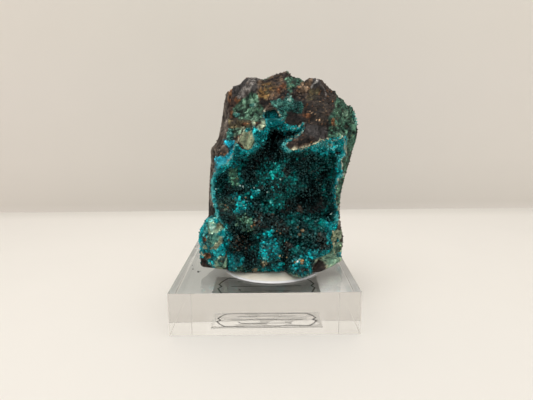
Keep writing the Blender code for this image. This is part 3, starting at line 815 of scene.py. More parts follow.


# ---- Rock


# Looks of the stains and of the druse: main, dark, light and speck colours (0 to 255), grain in mm, specks' share
# The near-black look paints shade, and the bright turquoise look is turquoise with painted light on it.
PALETTES = {
    "bark": ((90, 81, 73), (54, 46, 41), (134, 124, 113), (100, 74, 52), 0.6, 0.4),
    "gossan": ((46, 37, 31), (22, 18, 16), (80, 66, 55), (146, 98, 58), 0.6, 0.6),
    "rust": ((98, 62, 38), (44, 31, 25), (146, 102, 64), (186, 126, 70), 0.6, 0.6),
    "ochre": ((88, 70, 54), (42, 34, 29), (126, 106, 86), (160, 108, 60), 0.5, 0.5),
    "gold": ((110, 82, 44), (60, 46, 30), (148, 118, 74), (110, 108, 60), 0.5, 0.6),
    "slate": ((50, 47, 46), (38, 35, 34), (69, 65, 64), (42, 35, 32), 0.6, 0.3),
    "loam": ((72, 64, 45), (44, 39, 30), (98, 90, 64), (124, 94, 58), 0.45, 0.6),
    "speckled": ((41, 34, 28), (24, 20, 18), (74, 61, 49), (196, 160, 122), 0.34, 0.9),
    "ash": ((92, 86, 82), (48, 42, 40), (136, 131, 125), (92, 68, 50), 0.32, 0.5),
    "oxide": ((42, 33, 29), (19, 15, 14), (74, 60, 52), (116, 82, 56), 0.55, 0.6),
    "malachite": ((56, 90, 71), (24, 44, 36), (124, 164, 138), (66, 46, 36), 0.36, 0.9),
    "verdigris": ((38, 87, 79), (20, 50, 46), (88, 150, 136), (50, 38, 32), 0.55, 0.8),
    "moss": ((47, 82, 67), (24, 46, 38), (98, 142, 116), (150, 108, 70), 0.36, 0.35),
    "mint": ((100, 160, 146), (50, 100, 92), (180, 208, 194), (60, 62, 52), 0.5, 0.7),
    "olive": ((128, 140, 111), (92, 104, 82), (160, 162, 130), (166, 134, 106), 0.34, 0.7),
    "cream": ((128, 134, 108), (84, 92, 72), (160, 160, 132), (76, 92, 74), 0.36, 0.8),
    "sage": ((125, 156, 131), (80, 110, 92), (166, 176, 144), (104, 78, 52), 0.4, 0.9),
    "sky": ((30, 170, 192), (8, 126, 146), (62, 190, 204), (4, 92, 104), 0.4, 0.6),
    "turquoise": ((2, 133, 138), (2, 80, 84), (48, 188, 192), (0, 36, 38), 0.55, 0.7),
    "lagoon": ((0, 158, 165), (0, 106, 112), (110, 212, 210), (0, 62, 64), 0.5, 0.7),
    "celadon": ((82, 134, 119), (50, 94, 85), (138, 184, 164), (50, 70, 62), 0.5, 0.6),
    "shade_black": ((8, 15, 15), (2, 3, 3), (22, 34, 32), (84, 66, 52), 0.6, 0.3),
    "umber": ((38, 31, 27), (11, 10, 9), (70, 58, 50), (110, 84, 62), 0.5, 0.5),
    "deep": ((2, 56, 54), (2, 20, 20), (0, 96, 92), (52, 66, 58), 0.7, 0.4),
    "teal": ((0, 88, 84), (0, 40, 38), (30, 134, 128), (76, 98, 88), 0.7, 0.4),
    "bright": ((2, 172, 177), (2, 104, 108), (92, 226, 226), (6, 52, 52), 0.45, 0.7),
    "khaki": ((61, 99, 79), (30, 54, 43), (106, 146, 119), (160, 122, 80), 0.45, 0.5),
    "moor": ((43, 74, 68), (16, 30, 28), (84, 98, 80), (130, 104, 76), 0.5, 0.5),
    "lichen": ((130, 145, 121), (74, 94, 77), (166, 173, 147), (60, 84, 68), 0.3, 0.9),
    "tan": ((178, 156, 120), (112, 92, 68), (214, 200, 170), (140, 96, 56), 0.5, 0.6),
}

# Stains and facets of the rock's front: look, softness in pixels, outline in the photo's pixels
# The near-black patch is painted shade in a crevice.
ROCK_PATCHES = (
    ("gossan", 3.0, ((224, 60), (340, 60), (342, 140), (300, 150), (224, 170))),
    ("bark", 1.5, ((220, 90), (228, 94), (228.5, 112), (227, 131), (224.5, 146), (226, 152), (221, 157),
                   (215, 163), (215, 172), (212, 190), (216, 216), (205, 216), (205, 148), (216, 143))),
    ("rust", 1.5, ((228, 88), (236, 92), (240, 100), (236, 106), (233, 118), (229, 112))),
    ("ash", 1.5, ((233, 83), (243, 77), (260, 76), (263, 83), (254, 92), (246, 97), (238, 98), (234, 92))),
    ("slate", 1.2, ((231, 88), (240, 83.5), (243, 78), (249, 77), (246, 82), (241, 88), (236, 95), (231, 96))),
    ("slate", 1.2, ((250, 88), (256, 83), (261, 80), (262, 88), (256, 94), (249, 98))),
    ("malachite", 1.5, ((250, 93), (257, 93), (260, 99), (258, 106), (262, 107), (264, 113), (262, 120),
                        (256, 123), (250, 120), (240, 120), (234, 116), (234, 108), (239, 103), (246, 98))),
    ("mint", 1.0, oval(252.3, 104.8, 2.8, 2.4)),
    ("mint", 1.0, oval(237.7, 115.3, 2.6, 2.0)),
    ("loam", 1.2, ((229, 119), (240, 121), (250, 121), (251, 126), (243, 129), (229, 129))),
    ("rust", 0.8, oval(243.8, 123.8, 3.4, 1.2)),
    ("ochre", 2.0, ((258, 82), (270, 77), (284, 72), (288, 78), (285, 88), (275, 97), (266, 101), (259, 99))),
    ("gold", 1.5, ((260, 90), (264, 84), (272, 82), (276, 86), (270, 93), (267, 98), (260, 98))),
    ("rust", 1.2, ((276, 88), (284, 82), (286, 86), (278, 93))),
    ("oxide", 1.2, ((262, 82), (270, 78.5), (282, 74), (276, 78.5), (266, 83.5))),
    ("oxide", 1.0, ((283, 73), (288, 68), (291, 76), (288, 82), (284, 84))),
    ("oxide", 1.5, ((258, 99), (268, 101), (275, 98), (274, 103), (264, 106), (258, 104))),
    ("moss", 1.2, ((286, 78), (294, 76), (302, 80), (302, 84), (297, 86), (294, 92), (290, 93), (286, 87))),
    ("oxide", 1.5, ((293, 88), (302, 82), (309, 84), (306, 96), (300, 100), (292, 98))),
    ("verdigris", 1.2, ((272, 103), (280, 100), (287, 95), (292, 99), (303, 101), (303, 108), (300, 115),
                        (296, 118), (290, 113), (285, 120), (281, 117), (279, 109), (272, 106))),
    ("mint", 1.0, ((271, 102), (279, 99), (283, 102), (280, 106), (273, 107))),
    ("mint", 1.0, ((286, 94), (290, 95), (290, 101), (286, 100))),
    ("oxide", 1.3, ((288, 112), (295, 112), (303, 115), (305, 122), (300, 126), (292, 122), (288, 117))),
    ("gossan", 1.5, ((304, 84), (312, 78), (322, 80), (330, 88), (337, 92), (337, 108), (330, 112), (328, 130),
                     (328, 137), (310, 142), (305, 128), (304, 115), (305, 100))),
    ("ochre", 1.5, ((298, 92), (301, 82), (306, 78), (315, 78), (311, 86), (307, 91), (299, 97))),
    ("loam", 1.5, ((308, 90), (319, 89), (318, 98), (308, 101))),
    ("speckled", 1.5, ((315, 102), (330, 101), (330, 111), (316, 111))),
    ("speckled", 1.5, ((306, 112), (313, 110), (326, 113), (327, 121), (318, 123), (306, 119))),
    ("rust", 1.0, oval(306.0, 116.0, 3.0, 2.6)),
    ("slate", 1.0, ((312, 79), (318, 77), (322, 82), (315, 89), (310, 86))),
    ("slate", 1.3, ((305, 127), (310, 126), (317, 124), (326, 127), (328, 134), (322, 139), (316, 140),
                    (310, 137), (305, 134))),
    ("oxide", 1.0, ((287, 145.4), (294, 140), (299, 136.4), (310, 136.4), (316.5, 140), (307.4, 143),
                    (299, 146), (291.7, 148))),
    ("moss", 1.5, ((338, 95), (343, 97), (347, 104), (352, 104), (358, 129), (356, 142), (351, 152),
                   (347, 168), (342, 215), (337, 215), (339, 162), (343, 150), (344, 137), (337, 139),
                   (328, 136), (329, 118), (334, 110), (336, 108))),
    ("malachite", 1.5, ((338, 104), (345, 110), (354, 116), (357, 128), (350, 124), (342, 116), (334, 112))),
    ("rust", 0.8, oval(333, 122, 1.2, 4.5)),
    ("sage", 0.9, oval(344.6, 112.4, 3.2, 2.4)),
    ("mint", 0.8, ((353, 113), (357, 115), (359, 127), (354, 122))),
    ("shade_black", 0.8, ((208, 204), (213, 206), (215.6, 216.5), (208, 219))),
    ("olive", 1.0, ((240.7, 133.9), (243.8, 130.9), (251, 132.1), (252.9, 135.7), (254.7, 140), (254.7, 143.6),
                    (252.9, 147.3), (249.8, 149.7), (245, 149.1), (242.6, 144.8), (238.9, 141.8),
                    (238.9, 137.6))),
    ("lichen", 0.8, ((233, 131), (240, 127.5), (249, 127), (250, 130), (242, 133), (236, 137), (233, 136))),
    ("lagoon", 0.6, oval(246.5, 130.6, 2.2, 1.3)),
    ("sage", 1.0, ((231, 129), (238, 128), (240, 131), (237, 136), (233, 134))),
    ("lichen", 1.0, ((261.3, 119.6), (265.6, 120.6), (267.4, 124.2), (266.2, 129.7), (263.2, 132.7),
                    (259.5, 131.5), (256.5, 128.5), (258.3, 126), (261.3, 124.2))),
    ("lichen", 0.8, oval(252.9, 124.6, 1.6, 3.4)),
    ("sky", 1.0, ((225, 142.4), (229.2, 138), (233.5, 141.4), (234, 148.5), (232, 158), (229, 162), (224, 168),
                  (216, 173), (215.5, 160), (218, 157), (223.2, 158.2), (228.6, 152.7), (227.4, 147.3))),
    ("verdigris", 1.0, ((228.6, 128), (233.5, 129), (234, 139), (230, 141), (228, 138))),
    ("gossan", 1.0, ((218, 151), (223.5, 148), (226.5, 152), (223, 157.5), (216, 157.5))),
    ("turquoise", 1.2, ((264.4, 112.7), (271.6, 110), (278.3, 110.5), (281, 115.8), (284, 121), (287.5, 126),
                        (286.2, 133), (282.6, 130), (274.7, 130), (269.2, 134), (264, 140), (259, 146),
                        (255, 150), (252, 152), (253, 146), (255, 141), (253, 134), (252.3, 128.5),
                        (257.1, 129.1), (262.6, 132.7), (265.6, 130.3), (268, 125.4), (266.8, 120.6),
                        (264.4, 117.6))),
    ("turquoise", 1.2, ((286, 124), (300, 127), (304, 124), (304, 130), (298, 138), (288, 143), (285, 136))),
    ("lagoon", 1.2, ((310, 147), (328, 138), (345, 137), (345, 156), (338, 162), (330, 152), (312, 150))),
    # lower left knobs
    ("turquoise", 1.2, ((206, 219), (217, 214), (224, 216), (232, 226), (230, 238), (226, 249), (222, 270),
                        (200, 270), (198, 240))),
    ("lagoon", 1.2, ((224, 222), (232, 228), (230, 238), (226, 249), (219, 252), (222, 240), (226, 232))),
    ("sage", 1.2, ((207, 225), (211, 219), (217, 217), (225, 219.5), (228, 225), (222, 230.5), (216, 233),
                   (208, 232))),
    ("cream", 1.0, ((216, 223), (223, 221), (224.5, 226), (218, 229))),
    ("mint", 1.0, oval(212.6, 226.4, 3.8, 2.8)),
    ("turquoise", 0.8, ((214, 220), (218, 218.4), (219.6, 221.4), (216, 223.4))),
    ("rust", 0.7, oval(226.2, 225.4, 1.4, 1.8)),
    ("cream", 1.0, ((218.3, 235.6), (223.4, 236.6), (223.2, 244.3), (217, 249), (210, 249), (213, 245),
                    (219, 242))),
    ("celadon", 0.8, oval(213.4, 238.0, 6.0, 6.3)),
    ("rust", 0.7, oval(204.3, 239.0, 2.4, 3.2)),
    ("lagoon", 1.0, ((205, 223), (203, 232), (202, 240), (203, 248), (197, 248), (197, 232), (201, 223))),
    ("olive", 0.8, oval(206.0, 247.0, 3.0, 2.2)),
    ("rust", 0.8, oval(207.0, 256.0, 3.4, 3.0)),
    ("sage", 0.8, oval(221.1, 262.0, 6.0, 6.4)),
    ("moor", 0.6, oval(221.1, 260.5, 4.2, 3.6)),
    ("celadon", 0.5, oval(220.5, 264.0, 2.4, 2.2)),
    ("oxide", 1.0, ((199, 256), (204, 258), (209, 263), (215, 267), (223, 270), (223, 275), (199, 275))),
    # lower right
    ("sage", 1.2, ((312, 257), (328, 254), (332, 246), (332, 241), (342, 241), (344, 264), (326, 274), (306, 277),
                   (308, 268))),
    ("oxide", 0.8, ((340.2, 226), (346, 226), (346, 246), (342.4, 246), (341.2, 238))),
    ("lichen", 0.8, ((336, 231), (340, 231), (341.4, 238), (341.6, 243), (336, 243), (333.6, 240.5))),
    ("olive", 0.7, ((328.8, 231.2), (332, 230), (336.4, 231.4), (337.4, 235), (336, 239), (331.6, 240.2),
                    (329, 236.6))),
    ("turquoise", 0.6, oval(337.0, 239.0, 1.2, 1.7)),
    ("moss", 1.0, oval(336.5, 249.0, 3.6, 3.4)),
    ("turquoise", 0.8, oval(338.2, 256.0, 2.2, 2.0)),
    ("umber", 0.6, oval(319.0, 267.4, 8.6, 6.6)),
)

# Swellings of the rock's front: x, y, half width, half height in the photo's pixels, how far in mm
ROCK_SWELLS = ((318, 271, 11, 8, 2.7), (213.4, 238, 5.5, 6, 0.5), (221, 262, 5, 5, 0.5), (246.8, 140, 6, 8, -0.4))

# Where the rock's small relief is weaker or stronger: factor, softness in pixels, outline
RELIEF_PATCHES = (
    (0.35, 3.0, ((233, 83), (243, 77), (262, 76), (262, 86), (254, 92), (246, 97), (238, 97))),
    (0.5, 3.0, ((258, 82), (270, 77), (284, 72), (287, 80), (285, 88), (275, 97), (266, 100), (259, 98))),
    (0.45, 3.0, ((304, 84), (312, 78), (322, 80), (330, 88), (335, 100), (330, 112), (328, 124), (305, 124))),
    (0.2, 2.0, ((305, 127), (317, 124), (326, 127), (328, 134), (322, 139), (310, 137))),
    (0.18, 2.0, oval(246.8, 140, 8, 9)),
    (0.4, 2.0, ((225, 142), (234, 141), (232, 158), (224, 168), (216, 173), (216, 158))),
    (0.5, 3.0, oval(214, 238, 14, 14)),
    (0.4, 2.0, oval(221, 262, 6.5, 6.5)),
    (0.4, 2.0, oval(319, 267, 9, 6)),
    (0.8, 2.0, ((250, 93), (260, 99), (264, 113), (256, 123), (234, 118), (234, 108), (246, 98))),
    (0.5, 2.0, ((272, 103), (287, 95), (303, 100), (303, 124), (285, 121))),
)

# Pale veins: colour, half width in pixels, line in the photo's pixels
VEINS = (
    ((150, 147, 143), 0.9, ((318.6, 79.6), (313.4, 83.6), (310.6, 87.6))),
    ((118, 112, 108), 0.6, ((321, 84), (326, 90), (325.4, 99))),
    ((120, 196, 190), 0.7, ((217, 217), (210.5, 221.5), (206.5, 227.5), (204, 236))),
    ((150, 176, 156), 0.6, ((207.6, 235), (210, 232.4), (215, 231.6), (219, 235))),
    ((160, 158, 134), 0.8, ((240.5, 133.5), (236, 142.6), (233.6, 149.5), (232.5, 157.6), (228, 163), (222, 167))),
    ((178, 174, 152), 0.9, ((263.5, 110.5), (270.4, 111.7), (275, 109.4), (280.7, 116.3), (284, 122),
                            (287.6, 125.4), (293.3, 128.9), (299, 127.7), (303, 123))),
    ((186, 184, 158), 1.2, ((303.6, 126.6), (300, 134.6), (293.3, 138), (287.6, 141.5), (284, 145),
                            (287.6, 149.5), (299, 149.5), (310.5, 146), (316.3, 142.7), (326.6, 138),
                            (330, 141.5), (338, 139), (343.8, 137))),
    ((172, 172, 150), 1.0, ((343.8, 138), (345, 147), (345, 155), (340.4, 160), (341.5, 169), (344, 174),
                            (338, 179), (335.8, 186), (335.8, 199.5), (338, 205), (338, 225))),
    ((104, 200, 196), 0.6, ((216.4, 172), (211.8, 181), (210.7, 188), (213, 199.5), (216.4, 211), (217.5, 218))),
    ((168, 164, 134), 0.8, ((201.5, 252), (207, 260), (213, 264), (219, 268), (226, 268.5))),
    ((160, 160, 132), 0.7, ((310.5, 268), (311, 262), (316, 260), (323, 260.5), (328, 265), (326, 271))),
    ((172, 172, 140), 0.8, ((333, 231), (334, 238), (333, 246), (335, 253))),
)


def warped_pixels(points, seed):
    """The photo's pixels of points, with ragged edges added."""
    px = to_pixels(points)
    for size, reach in ((3.0, 1.6), (0.9, 1.1)):
        px[:, 0] += reach * value_noise(points, size, seed)
        px[:, 1] += reach * value_noise(points, size, seed + 5)
    return px


def tones_of(points, look, seed):
    """Mottled colours of one look over points."""
    main, dark, light, speck, grain, share = PALETTES[look]
    coarse = fractal(points, grain * 3.5, 3, seed)
    fine = value_noise(points, grain, seed + 5)
    tones = np.tile(linear(*main), (len(points), 1))
    tones = blend_in(tones, linear(*dark), smooth(coarse + 0.35 * fine, -0.02, 0.3))
    tones = blend_in(tones, linear(*light), smooth(0.35 * fine - coarse, 0.12, 0.45) * 0.85)
    bits = value_noise(points, grain * 0.8, seed + 9)
    return blend_in(tones, linear(*speck), smooth(bits, 0.6, 0.8) * share)


def lay_patches(colours, px, patches, share, points):
    for number, (look, softness, outline) in enumerate(patches):
        amount = smooth(polygon_distance(px, outline), -softness, softness * 0.6) * share
        near = np.flatnonzero(amount > 0.001)
        if len(near):
            tones = tones_of(points[near], look, 300 + 7 * number)
            weight = amount[near][:, None]
            colours[near] = colours[near] * (1 - weight) + tones * weight
    return colours


def lay_veins(colours, px, veins, share, points):
    gaps = smooth(fractal(points, 1.6, 3, 95), -0.42, -0.05)
    thin = 1 + 0.7 * value_noise(points, 0.8, 97)
    for colour, half_width, line in veins:
        away = line_distance(px, line) / (half_width * thin)
        colours = blend_in(colours, linear(*colour), share * gaps * (1 - smooth(away, 0.3, 1.3)))
    return colours


def voxel_copy(node, voxel):
    """Points and faces of a CAD node's fine even copy."""
    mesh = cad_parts[node].data.copy()
    obj = bpy.data.objects.new("voxel_source", mesh)
    bpy.context.scene.collection.objects.link(obj)
    modifier = obj.modifiers.new("remesh", "REMESH")
    modifier.mode = "VOXEL"
    modifier.voxel_size = voxel * MM
    graph = bpy.context.evaluated_depsgraph_get()
    fine = bpy.data.meshes.new_from_object(obj.evaluated_get(graph))
    bpy.data.objects.remove(obj)
    points = np.zeros(len(fine.vertices) * 3, np.float32)
    fine.vertices.foreach_get("co", points)
    faces = [tuple(polygon.vertices) for polygon in fine.polygons]
    bpy.data.meshes.remove(fine)
    return points.reshape(-1, 3).astype(float) / MM, faces


def edges_of(faces):
    pairs = set()
    for face in faces:
        for a, b in zip(face, face[1:] + face[:1]):
            pairs.add((a, b) if a < b else (b, a))
    return np.array(sorted(pairs))


def relax(points, edges, rounds, factor=0.5):
    count = np.bincount(edges.ravel(), minlength=len(points)).astype(float)
    for _ in range(rounds):
        total = np.zeros_like(points)
        for axis in range(3):
            total[:, axis] = np.bincount(edges[:, 0], points[edges[:, 1], axis], len(points))
            total[:, axis] += np.bincount(edges[:, 1], points[edges[:, 0], axis], len(points))
        points = points + factor * (total / count[:, None] - points)
    return points


def normals_of(points, faces):
    quads = np.array([face if len(face) == 4 else (*face, face[-1]) for face in faces])
    a, b, c, d = (points[quads[:, k]] for k in range(4))
    flat = np.cross(c - a, d - b)
    normals = np.zeros_like(points)
    for k in range(4):
        for axis in range(3):
            normals[:, axis] += np.bincount(quads[:, k], flat[:, axis], len(points))
    return normals / np.maximum(np.linalg.norm(normals, axis=1, keepdims=True), 1e-9)


def chipped(points, size, tilt, seed):
    """Height of small tilted facets over points: each cell is a plane of its own."""
    p = points / size
    low = np.floor(p)
    best = np.full(len(p), 9.0)
    height = np.zeros(len(p))
    for dx in (-1, 0, 1):
        for dy in (-1, 0, 1):
            for dz in (-1, 0, 1):
                cell = low + (dx, dy, dz)
                away = p - (cell + np.stack([hashed(cell, seed + k) for k in range(3)], -1))
                lean = np.stack([hashed(cell, seed + 10 + k) - 0.5 for k in range(3)], -1)
                distance = np.linalg.norm(away, axis=1)
                nearer = distance < best
                height = np.where(nearer, (away * lean).sum(1), height)
                best = np.where(nearer, distance, best)
    return height * size * tilt


def spread(rows, values, reach):
    """Values over whole rows, filled in where missing and smoothed."""
    known = ~np.isnan(values)
    values = np.interp(rows, rows[known], values[known])
    kernel = np.exp(-((np.arange(-12, 13) / reach) ** 2))
    padded = np.pad(values, 12, mode="edge")
    return np.convolve(padded, kernel / kernel.sum(), mode="valid")


def extreme(rows, places, values, most):
    found = np.full(len(rows), np.nan)
    bins = np.round(places).astype(int) - int(rows[0])
    inside = (bins >= 0) & (bins < len(rows))
    start = np.full(len(rows), -1e9 if most else 1e9)
    (np.maximum if most else np.minimum).at(start, bins[inside], values[inside])
    hit = np.abs(start) < 1e8
    found[hit] = start[hit]
    return found


def fit_outline(points):
    """Moves the rock's top and sides to the outline that it has in the photo."""
    for _ in range(2):
        px = to_pixels(points)
        scale = FOCAL_PX / ((points - np.array(CAMERA_AT)) @ FORWARD_AXIS)
        columns = np.arange(224.0, 357.0)
        top = extreme(columns, px[:, 0], px[:, 1], False)
        want = np.interp(columns, [k[0] for k in TOP_PX], [k[1] for k in TOP_PX])
        shift = spread(columns, want - top, 2.0)
        top = spread(columns, top, 3.0)
        own_top = np.interp(px[:, 0], columns, top)
        fade = 1 - smooth(px[:, 1] - own_top, 4.0, 26.0)
        lift = -np.interp(px[:, 0], columns, shift, 0.0, 0.0) / scale * fade
        points = points + np.stack([lift * 0, lift * 0, np.clip(lift, -2.5, 2.5)], -1)
        for knots, most, way in ((LEFT_PX, False, 1), (RIGHT_PX, True, -1)):
            px = to_pixels(points)
            rows = np.arange(float(knots[0][0]), float(knots[-1][0]) + 1)
            side = extreme(rows, px[:, 1], px[:, 0], most)
            want = np.interp(rows, [k[0] for k in knots], [k[1] for k in knots])
            shift = spread(rows, want - side, 2.0)
            side = spread(rows, side, 3.0)
            own_side = np.interp(px[:, 1], rows, side)
            fade = 1 - smooth(way * (px[:, 0] - own_side), 3.0, 22.0)
            fade = fade * smooth(px[:, 1], rows[0] - 12, rows[0]) * smooth(points[:, 2], 13.2, 14.5)
            push = np.interp(px[:, 1], rows, shift) / scale * fade
            points = points + np.stack([np.clip(push, -2.0, 2.0), push * 0, push * 0], -1)
    return points


def make_rock():
    points, faces = voxel_copy("matrix_rock", ROCK_VOXEL)
    edges = edges_of(faces)
    points = relax(points, edges, 6)
    normals = normals_of(points, faces)
    px = to_pixels(points)
    to_camera = np.array(CAMERA_AT) - points
    to_camera /= np.linalg.norm(to_camera, axis=1, keepdims=True)
    facing = (normals * to_camera).sum(1)
    shown = smooth(facing, -0.15, 0.2) * smooth(-points[:, 1], -6.0, -2.0)
    left_flank = smooth(-normals[:, 0], 0.45, 0.8) * smooth(points[:, 2], 22.0, 28.0)
    right_flank = smooth(normals[:, 0], 0.3, 0.7) * smooth(points[:, 2], 24.0, 32.0)
    keep = np.ones(len(points))
    for factor, softness, outline in RELIEF_PATCHES:
        keep = keep + (factor - keep) * shown * smooth(polygon_distance(px, outline), -softness, softness)
    bark = value_noise(points * (1.0, 1.0, 0.12), 0.9, 41) + 0.6 * value_noise(points * (1.0, 1.0, 0.2), 0.45, 43)
    slope = value_noise(points * (0.35, 0.35, 1.0) + 0.4 * points[:, [2, 0, 1]], 1.1, 47)
    stone = 0.3 * chipped(points, 3.0, 0.9, 3) + 0.45 * chipped(points, 1.3, 1.0, 5)
    stone += 0.25 * fractal(points, 2.0, 3, 9) + 0.22 * chipped(points, 0.8, 1.2, 7)
    crack = 1 - smooth(np.abs(fractal(points, 3.4, 3, 49)), 0.0, 0.06)
    height = stone * (1 - 0.6 * left_flank) * (1 - 0.5 * right_flank) - 0.45 * crack
    height = height * keep + 0.36 * bark * left_flank + 0.25 * slope * right_flank
    height += 0.2 * (0.35 + 0.65 * np.minimum(keep, 1.0)) * fractal(points, 0.8, 2, 13, 0.7)
    height *= smooth(points[:, 2], 13.3, 15.5)
    height = np.where(points[:, 2] < 13.6, 0.0, height + 0.1)
    points = points + normals * height[:, None]
    points = relax(points, edges, 1, 0.2)
    for u, v, half_wide, half_high, swell in ROCK_SWELLS:
        away = ((px[:, 0] - u) / half_wide) ** 2 + ((px[:, 1] - v) / half_high) ** 2
        points[:, 1] -= swell * np.exp(-(away**1.5)) * smooth(-points[:, 1], 0.0, 4.0)
    points = fit_outline(points)
    corner = to_pixels(points) - CORNER_PX
    corner = np.exp(-((corner / CORNER_REACH) ** 2).sum(1))[:, None]
    points = points + (relax(points, edges, 24) - points) * corner
    now = to_pixels(points)
    for u, v, half_wide, half_high, lift in CORNER_LIFTS:
        away = ((now[:, 0] - u) / half_wide) ** 2 + ((now[:, 1] - v) / half_high) ** 2
        points[:, 2] += lift * np.exp(-away)
    near = (points[:, 1] < 0.0) & (rim_distance(points[:, 0], points[:, 2]) > 0.05)
    cover = druse_height(points[near, 0], points[near, 2]) + 0.9
    points[near, 1] = np.maximum(points[near, 1], cover)
    foot = ((px[:, 0] - 318) / 13) ** 2 + ((px[:, 1] - 271) / 6) ** 2
    foot = FOOT_DROP * np.exp(-foot) * shown
    points[:, 2] = np.maximum(points[:, 2] - foot, 13.25 - foot)

    normals = normals_of(points, faces)
    colours = tones_of(points, "gossan", 21)
    ochre = fractal(points, 2.6, 4, 23)
    amount = (smooth(ochre, 0.18, 0.4) * 0.8)[:, None]
    colours = colours * (1 - amount) + tones_of(points, "ochre", 24) * amount
    green = fractal(points, 6.0, 4, 27) + 0.3 * right_flank + 0.1 * normals[:, 1] - 0.1
    amount = (smooth(green, 0.12, 0.25) * 0.95)[:, None]
    colours = colours * (1 - amount) + tones_of(points, "malachite", 31) * amount
    amount = (left_flank * 0.85)[:, None]
    colours = colours * (1 - amount) + tones_of(points, "bark", 35) * amount
    streaks = smooth(value_noise(points * (1.0, 1.0, 0.1), 0.7, 51), 0.0, 0.5)
    colours = blend_in(colours, linear(54, 45, 40), left_flank * streaks * 0.8)
    warped = warped_pixels(points, 61)
    colours = lay_patches(colours, warped, ROCK_PATCHES, shown, points)
    streaks = smooth(value_noise(points * (1.0, 1.0, 0.1), 0.55, 53), 0.0, 0.4)
    colours = blend_in(colours, linear(56, 48, 42), left_flank * shown * streaks * 0.45)
    rim = rim_distance(points[:, 0], points[:, 2])
    inner = smooth(-points[:, 1], 5.0, 8.0) * smooth(rim, 0.0, 0.4)
    colours = blend_in(colours, linear(0, 110, 116), inner)
    colours = lay_veins(colours, warped, VEINS, shown, points)
    first, second, tag = cell_noise(points, 0.7, 71)
    # A random tone for each small cell, and painted shade in the cracks.
    colours *= ((0.66 + 0.68 * tag) * (1 - 0.6 * crack))[:, None]
    # Painted shade in the rock's small hollows and painted light on its bumps, from its relief against a smoothed
    # copy.
    relief = ((points - relax(points, edges, 8)) * normals).sum(1)
    colours *= np.exp(np.clip(relief / 0.13, -1.6, 0.7) * 0.75)[:, None]
    obj = mesh_from("rock", points, faces)
    paint(obj, "paint", np.clip(colours, 0.002, 1.0))
    look = painted_rock_material()
    obj.data.materials.append(look)
    piece(obj, "matrix_rock")
    hidden = (rim_distance(points[:, 0], points[:, 2]) > 0.3) & (points[:, 1] < 0)
    stone = np.clip(keep, 0.15, 1.0) * (points[:, 2] > 14.0) * (1 - 0.9 * left_flank)
    weight = stone * ~hidden
    make_grains("rock_grains", GRAINS, points, normals, colours, weight, (0.4, 1.1), 0.5, look)
    blue = smooth((colours[:, 2] - 1.5 * colours[:, 0]) / (colours[:, 2] + 0.004), 0.25, 0.6) * shown
    hidden &= points[:, 2] < 55.2
    weight = stone * blue * np.clip(keep, 0.15, 1.0) ** 2 * ~hidden
    away = ((px[:, 0] - 272) / 10) ** 2 + ((px[:, 1] - 114) / 6) ** 2
    weight = weight * (1 + 12 * np.exp(-away))
    make_grains("stain_crystals", STAIN_CRYSTALS, points, normals, colours, weight, (1.2, 2.2), 0.25,
                crystal_material())


def make_grains(name, count, points, normals, colours, weight, slender, contrast, look):
    """Crumbs or small crystals in the surface's colours, its painted shade and light included, scattered over it."""
    rng = np.random.default_rng(SEED + 1)
    at = rng.choice(len(points), count, replace=False, p=weight / weight.sum())
    radius = rng.uniform(0.1, 0.26, count)
    tall = radius * rng.uniform(*slender, count)
    direction = normals[at] + rng.normal(0, 0.35, (count, 3))
    tones = colours[at] * np.exp(rng.normal(0, contrast, count))[:, None]
    grow_crystals(name, points[at], direction, radius, tall, tones, look, rng)


# ---- Druse


def rim_distance(x, z):
    return polygon_distance(np.stack([x, z], -1), RIM)


def solid_rim_distance(x, z):
    return polygon_distance(np.stack([x, z], -1), VUG_RIM)


def druse_lumps(x, z):
    """Height of the clusters that the crystals grow in."""
    flat = np.stack([x, z, np.zeros_like(x)], -1)
    flat = flat + 0.5 * np.stack([value_noise(flat, 2.0, 93), value_noise(flat, 2.0, 95), x * 0], -1)
    first, second, tag = cell_noise(flat, 3.4, 5)
    lumps = 0.85 * (1 - 1.5 * first) + 0.5 * tag
    first, second, tag = cell_noise(flat, 1.5, 15)
    return lumps + 0.4 * (1 - 1.5 * first) + 0.15 * tag


def druse_height(x, z):
    """Depth of the druse's surface, with its lumps."""
    above_shelf = z - np.interp(x, [k[0] for k in SHELF_LINE], [k[1] for k in SHELF_LINE])
    depth = SHELF_DEPTH + (VUG_DEPTH - SHELF_DEPTH) * smooth(above_shelf, -0.5 * SHELF_STEP, 0.5 * SHELF_STEP)
    for swell_x, swell_z, half_wide, half_high, swell in SWELLS:
        depth = depth + swell * np.exp(-(((x - swell_x) / half_wide) ** 2) - ((z - swell_z) / half_high) ** 2)
    px = to_pixels(np.stack([x, front_plane(x, z), z], -1))
    for u, v, half_wide, half_high, swell in SWELLS_PX:
        away = ((px[:, 0] - u) / half_wide) ** 2 + ((px[:, 1] - v) / half_high) ** 2
        depth = depth + swell * np.exp(-away)
    wall = smooth(rim_distance(x, np.maximum(z, NO_WALL_BELOW)), -0.2, WALL_WIDTH)
    inside = smooth(rim_distance(x, z), 0.0, 2.5)
    flat = np.stack([x, z, np.zeros_like(x)], -1)
    y = front_plane(x, z) + depth * wall - druse_lumps(x, z) * inside - 0.3 * fractal(flat, 1.1, 3, 25)
    low = np.clip((14.4 - z) / 1.2, 0.0, 0.98)
    return y + 1.4 * (1 - np.sqrt(1 - low * low))
